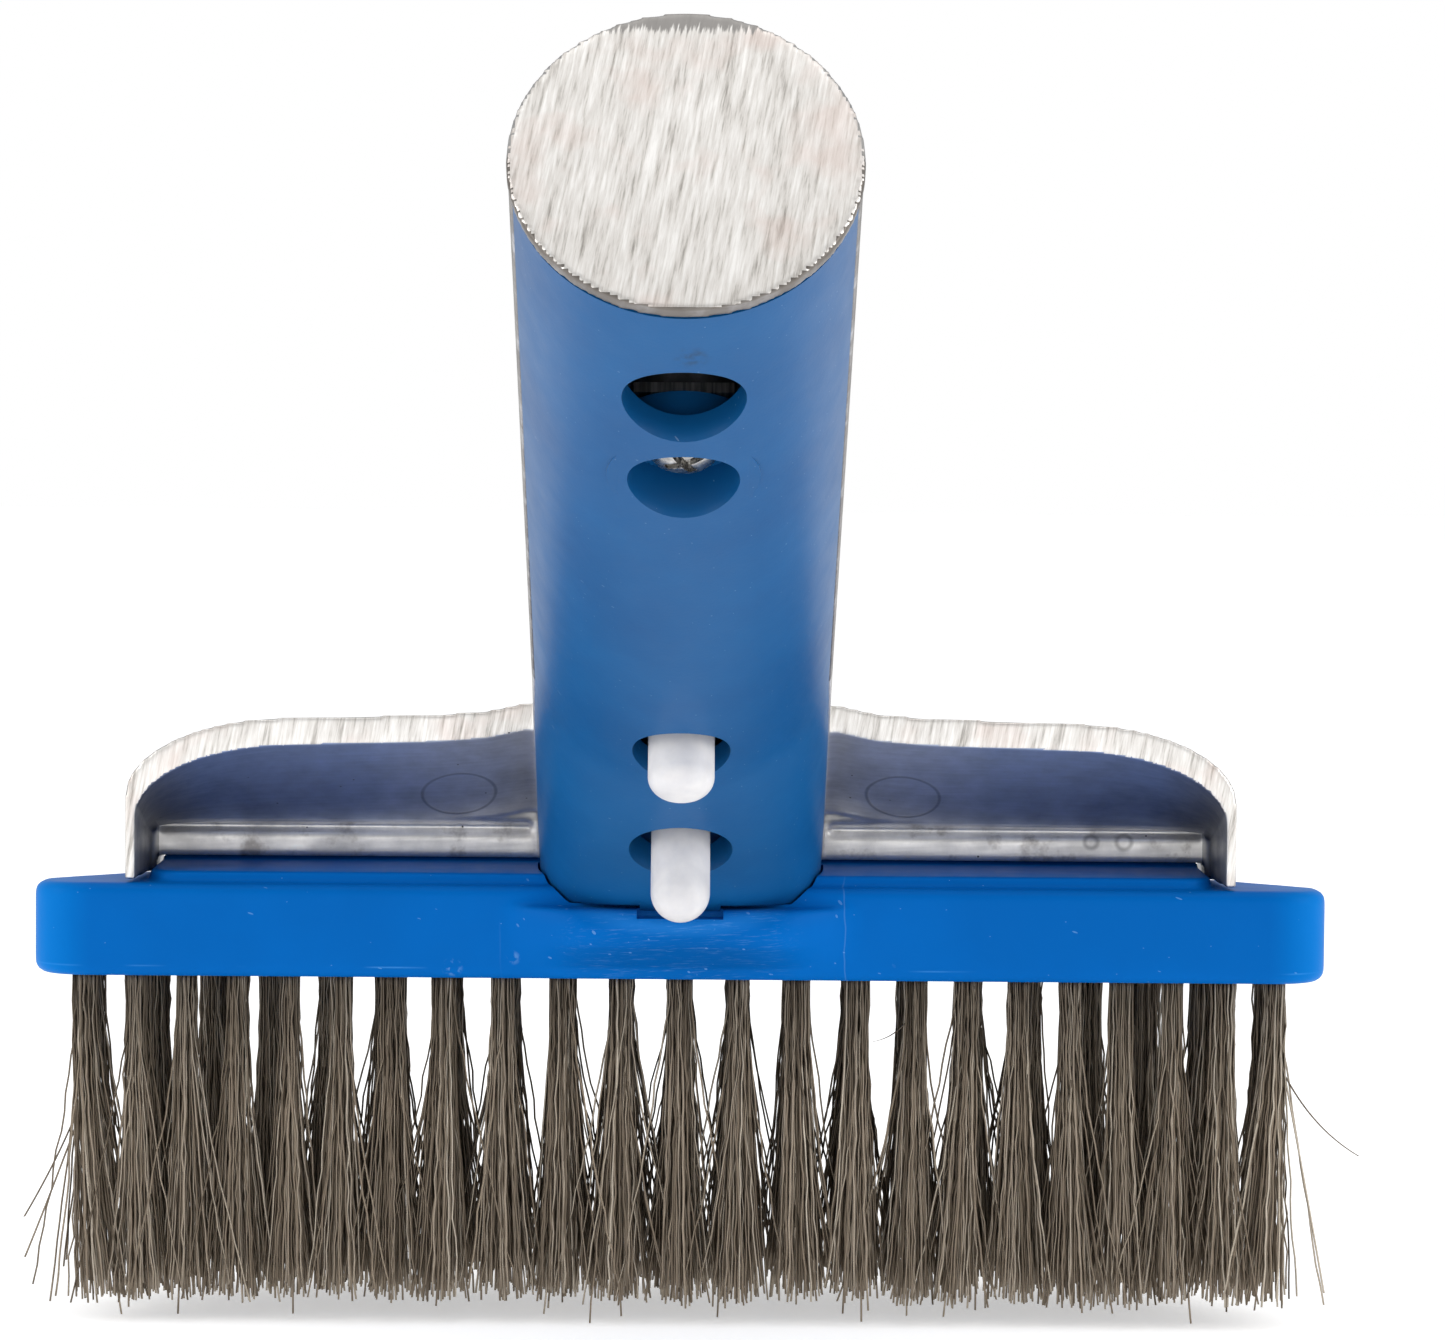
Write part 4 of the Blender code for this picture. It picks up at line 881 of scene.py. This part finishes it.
# long bent wires by the column they start in: depth below the block, and the way to the bend and to the end
strays = {0: [(0.012, (-0.0022, -0.001, -0.006), (-0.0057, -0.0015, -0.0120)),
              (0.013, (-0.0028, -0.001, -0.008), (-0.0056, -0.0015, -0.0150))],
          22: [(0.007, (0.0030, -0.001, -0.0070), (0.0083, -0.0015, -0.0100)),
               (0.004, (0.0026, -0.001, -0.0130), (0.0050, -0.0020, -0.0265))],
          15: [(0.003, (-0.0016, -0.0015, -0.0026), (-0.0042, -0.0020, -0.0030))]}


def growTufts(rng, places, lean):
    # the wires of some tufts, each as a row of points from its root to its tip
    paths = []
    for x, y in places:
        lowEnd = rng.uniform(-0.0003, 0.0005)
        sway = lean + rng.normal(0, 0.0004)
        fat = rng.uniform(*wires["fat"])
        for i in range(wires["perTuft"]):
            reach = math.sqrt((i + 0.5) / wires["perTuft"])
            turn = i * wires["goldenAngle"] + rng.uniform(-0.2, 0.2)
            root = np.array([math.cos(turn), math.sin(turn)]) * reach * wires["rootRadius"] * fat
            fan = rng.uniform(*wires["fan"])
            tip = np.array([math.cos(turn) * reach * wires["spreadX"] * fan,
                            math.sin(turn) * reach * wires["spreadY"] * fan])
            tip += rng.normal(0, 0.00035, 2) + (sway, 0)
            start = rng.uniform(*wires["flareFrom"])
            end = rng.uniform(wires["tipLow"], wires["tipHigh"]) + lowEnd
            kind = rng.random()
            if kind < wires["strayShare"]:
                tip += (rng.choice((-1, 1)) * rng.uniform(*wires["strayOut"]), rng.uniform(-0.002, 0.001))
                start = rng.uniform(*wires["strayFrom"])
            if kind > 1 - wires["reachShare"]:
                end = rng.uniform(wires["lowest"], 0.0002)
            share = np.linspace(0, 1, wires["points"])
            flare = np.clip((share - start) / (1 - start), 0, 1) ** rng.uniform(*wires["flareCurve"])
            plan = root + (tip - root) * flare[:, None]
            plan[1:-1] += rng.normal(0, wires["crimp"], (wires["points"] - 2, 2))
            top = underside + wires["sunk"]
            level = top + (max(end, floorZ + 0.0001) - top) * share
            paths.append(np.column_stack([x + plan[:, 0], frontY + y + plan[:, 1], level]))
    return paths


def strayWire(points, count):
    # a long bent wire through a few points, as a smooth curve
    points = np.array(points)
    share = np.linspace(0, 1, count)[:, None]
    a, b, c = points
    return (1 - share) ** 2 * a + 2 * share * (1 - share) * b + share ** 2 * c


def wireMesh(name, rng, paths, tones):
    paths = np.array(paths)
    count, points = paths.shape[:2]
    turns = rng.uniform(0, 2 * math.pi, (count, 1, 1)) + np.arange(3) * 2 * math.pi / 3
    ring = np.stack([np.cos(turns), np.sin(turns), np.zeros_like(turns)], -1) * wires["radius"]
    verts = (paths[:, :, None, :] + ring).reshape(-1, 3)
    base = (np.arange(count) * points * 3)[:, None, None] + (np.arange(points - 1) * 3)[None, :, None]
    side = np.arange(3)
    after = (side + 1) % 3
    quads = np.stack([base + side, base + after, base + after + 3, base + side + 3], -1).reshape(-1, 4)
    ends = (np.arange(count) * points * 3)[:, None] + np.array([[0, 1, 2]])
    tips = ends + (points - 1) * 3
    faces = [*quads.tolist(), *ends[:, ::-1].tolist(), *tips.tolist()]
    mesh = bpy.data.meshes.new(name)
    mesh.from_pydata(verts.tolist(), [], faces)
    tone = mesh.attributes.new("wireTone", "FLOAT", "POINT")
    tone.data.foreach_set("value", np.repeat(tones, points * 3).astype(np.float32))
    bm = bmesh.new()
    bm.from_mesh(mesh)
    bmesh.ops.recalc_face_normals(bm, faces=bm.faces)
    bm.to_mesh(mesh)
    bm.free()
    return mesh


def buildWires():
    rng = np.random.default_rng(11)
    columns = sorted(node for node in nodes if node.startswith("bristle_column"))
    middles = [sum(corner.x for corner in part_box(node)) / 2 for node in columns]
    # the front row stands over the columns, and the rows behind it are evenly spaced
    tufts = {node: [(x, tuftRows["first"])] for node, x in zip(columns, middles)}
    for row in range(1, tuftRows["count"]):
        y = tuftRows["first"] + tuftRows["pitch"] * row
        each = int((blockHalfWidth(y) - tuftRows["margin"]) / tuftRows["backPitch"])
        for i in range(-each, each + 1):
            x = i * tuftRows["backPitch"]
            nearest = min(range(len(columns)), key=lambda n: abs(middles[n] - x))
            tufts[columns[nearest]].append((x, y))
    for number, node in enumerate(columns):
        x = middles[number]
        lean = 0.0015 if number == 0 else -0.001 if number == len(columns) - 1 else 0.0
        paths = growTufts(rng, tufts[node], lean)
        if number in strays:
            for high, bend, end in strays[number]:
                start = np.array([x, frontY + tuftRows["first"], underside - high])
                paths.append(strayWire([start, start + bend, start + end], wires["points"]))
        tones = np.clip(rng.normal(0.5, 0.22, len(paths)), 0, 1)
        made = finishPiece(node.replace("bristle_column", "wires"), wireMesh(node, rng, paths, tones),
                           wireSteel, sharp=180)
        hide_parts(node)
        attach(made, "brush")
    print("tufts grown:", sum(map(len, tufts.values())))


buildWires()


# ---- floor, light and camera ----

studio = {"floorColor": "#F7F7F7", "floorGlow": 0.47, "front": 0.38, "back": 0.75,
          "lights": [("leftBox", (-0.85, -0.35, 0.40), 0.6, 3.0), ("rightBox", (0.85, -0.32, 0.40), 0.6, 3.2),
                     ("topBox", (0, -0.1, 1.0), 0.8, 2.1), ("frontBox", (0, -1.2, 0.06), 0.5, 1.4)]}
camera = {"place": (0, -0.44448, 0.0867), "pitch": -3.0, "roll": 0.45, "lens": 122.3, "shiftX": 0.028}


def buildFloor():
    bm = bmesh.new()
    bmesh.ops.create_grid(bm, x_segments=4, y_segments=4, size=4)
    made = finishPiece("paleFloor", meshFrom("paleFloor", bm), None, Matrix.Translation((0, 0, floorZ)))
    # matt paper, a little lit of itself so that it stays near white
    paper = newMaterial("matPaperSweep", {
        "Base Color": hexToLinear(studio["floorColor"]), "Roughness": 0.9,
        "Emission Color": (1, 1, 1, 1), "Emission Strength": studio["floorGlow"]})
    made.data.materials.append(paper[0])


def buildWorld():
    # white all round, and dimmer on the side that the brush's front faces
    world = bpy.data.worlds.new("studioWorld")
    bpy.context.scene.world = world
    world.use_nodes = True
    tree = world.node_tree
    background = tree.nodes["Background"]
    direction = addNode(tree, "ShaderNodeTexCoord", {}).outputs["Generated"]
    parts = addNode(tree, "ShaderNodeSeparateXYZ", {}, {0: direction})
    level = addNode(tree, "ShaderNodeMapRange", {"From Min": -0.7, "From Max": 0.5,
                    "To Min": studio["front"], "To Max": studio["back"]}, {"Value": parts.outputs["Y"]})
    seen = addNode(tree, "ShaderNodeLightPath", {}).outputs["Is Camera Ray"]
    strength = addNode(tree, "ShaderNodeMix", {"data_type": "FLOAT", 3: 1.0}, {0: seen,
                       2: level.outputs[0]})
    tree.links.new(strength.outputs[0], background.inputs["Strength"])
    background.inputs["Color"].default_value = (1, 1, 1, 1)


def buildLights():
    for name, place, size, power in studio["lights"]:
        light = bpy.data.lights.new(name, "AREA")
        light.size = size
        light.energy = power
        lamp = bpy.data.objects.new(name, light)
        lamp.location = place
        aim = Vector((0, 0.02, 0.05)) - lamp.location
        lamp.rotation_euler = aim.to_track_quat("-Z", "Y").to_euler()
        bpy.context.scene.collection.objects.link(lamp)


def buildCamera():
    lens = bpy.data.cameras.new("camera")
    lens.lens = camera["lens"]
    lens.sensor_width = 36
    lens.shift_x = camera["shiftX"]
    lens.clip_start = 0.01
    lens.clip_end = 50
    seer = bpy.data.objects.new("camera", lens)
    seer.matrix_world = (Matrix.Translation(camera["place"])
                         @ Matrix.Rotation(math.radians(90 + camera["pitch"]), 4, "X")
                         @ Matrix.Rotation(math.radians(camera["roll"]), 4, "Z"))
    bpy.context.scene.collection.objects.link(seer)
    bpy.context.scene.camera = seer


buildFloor()
buildWorld()
buildLights()
buildCamera()
bpy.context.scene.view_settings.view_transform = "Standard"
print("studio ready")
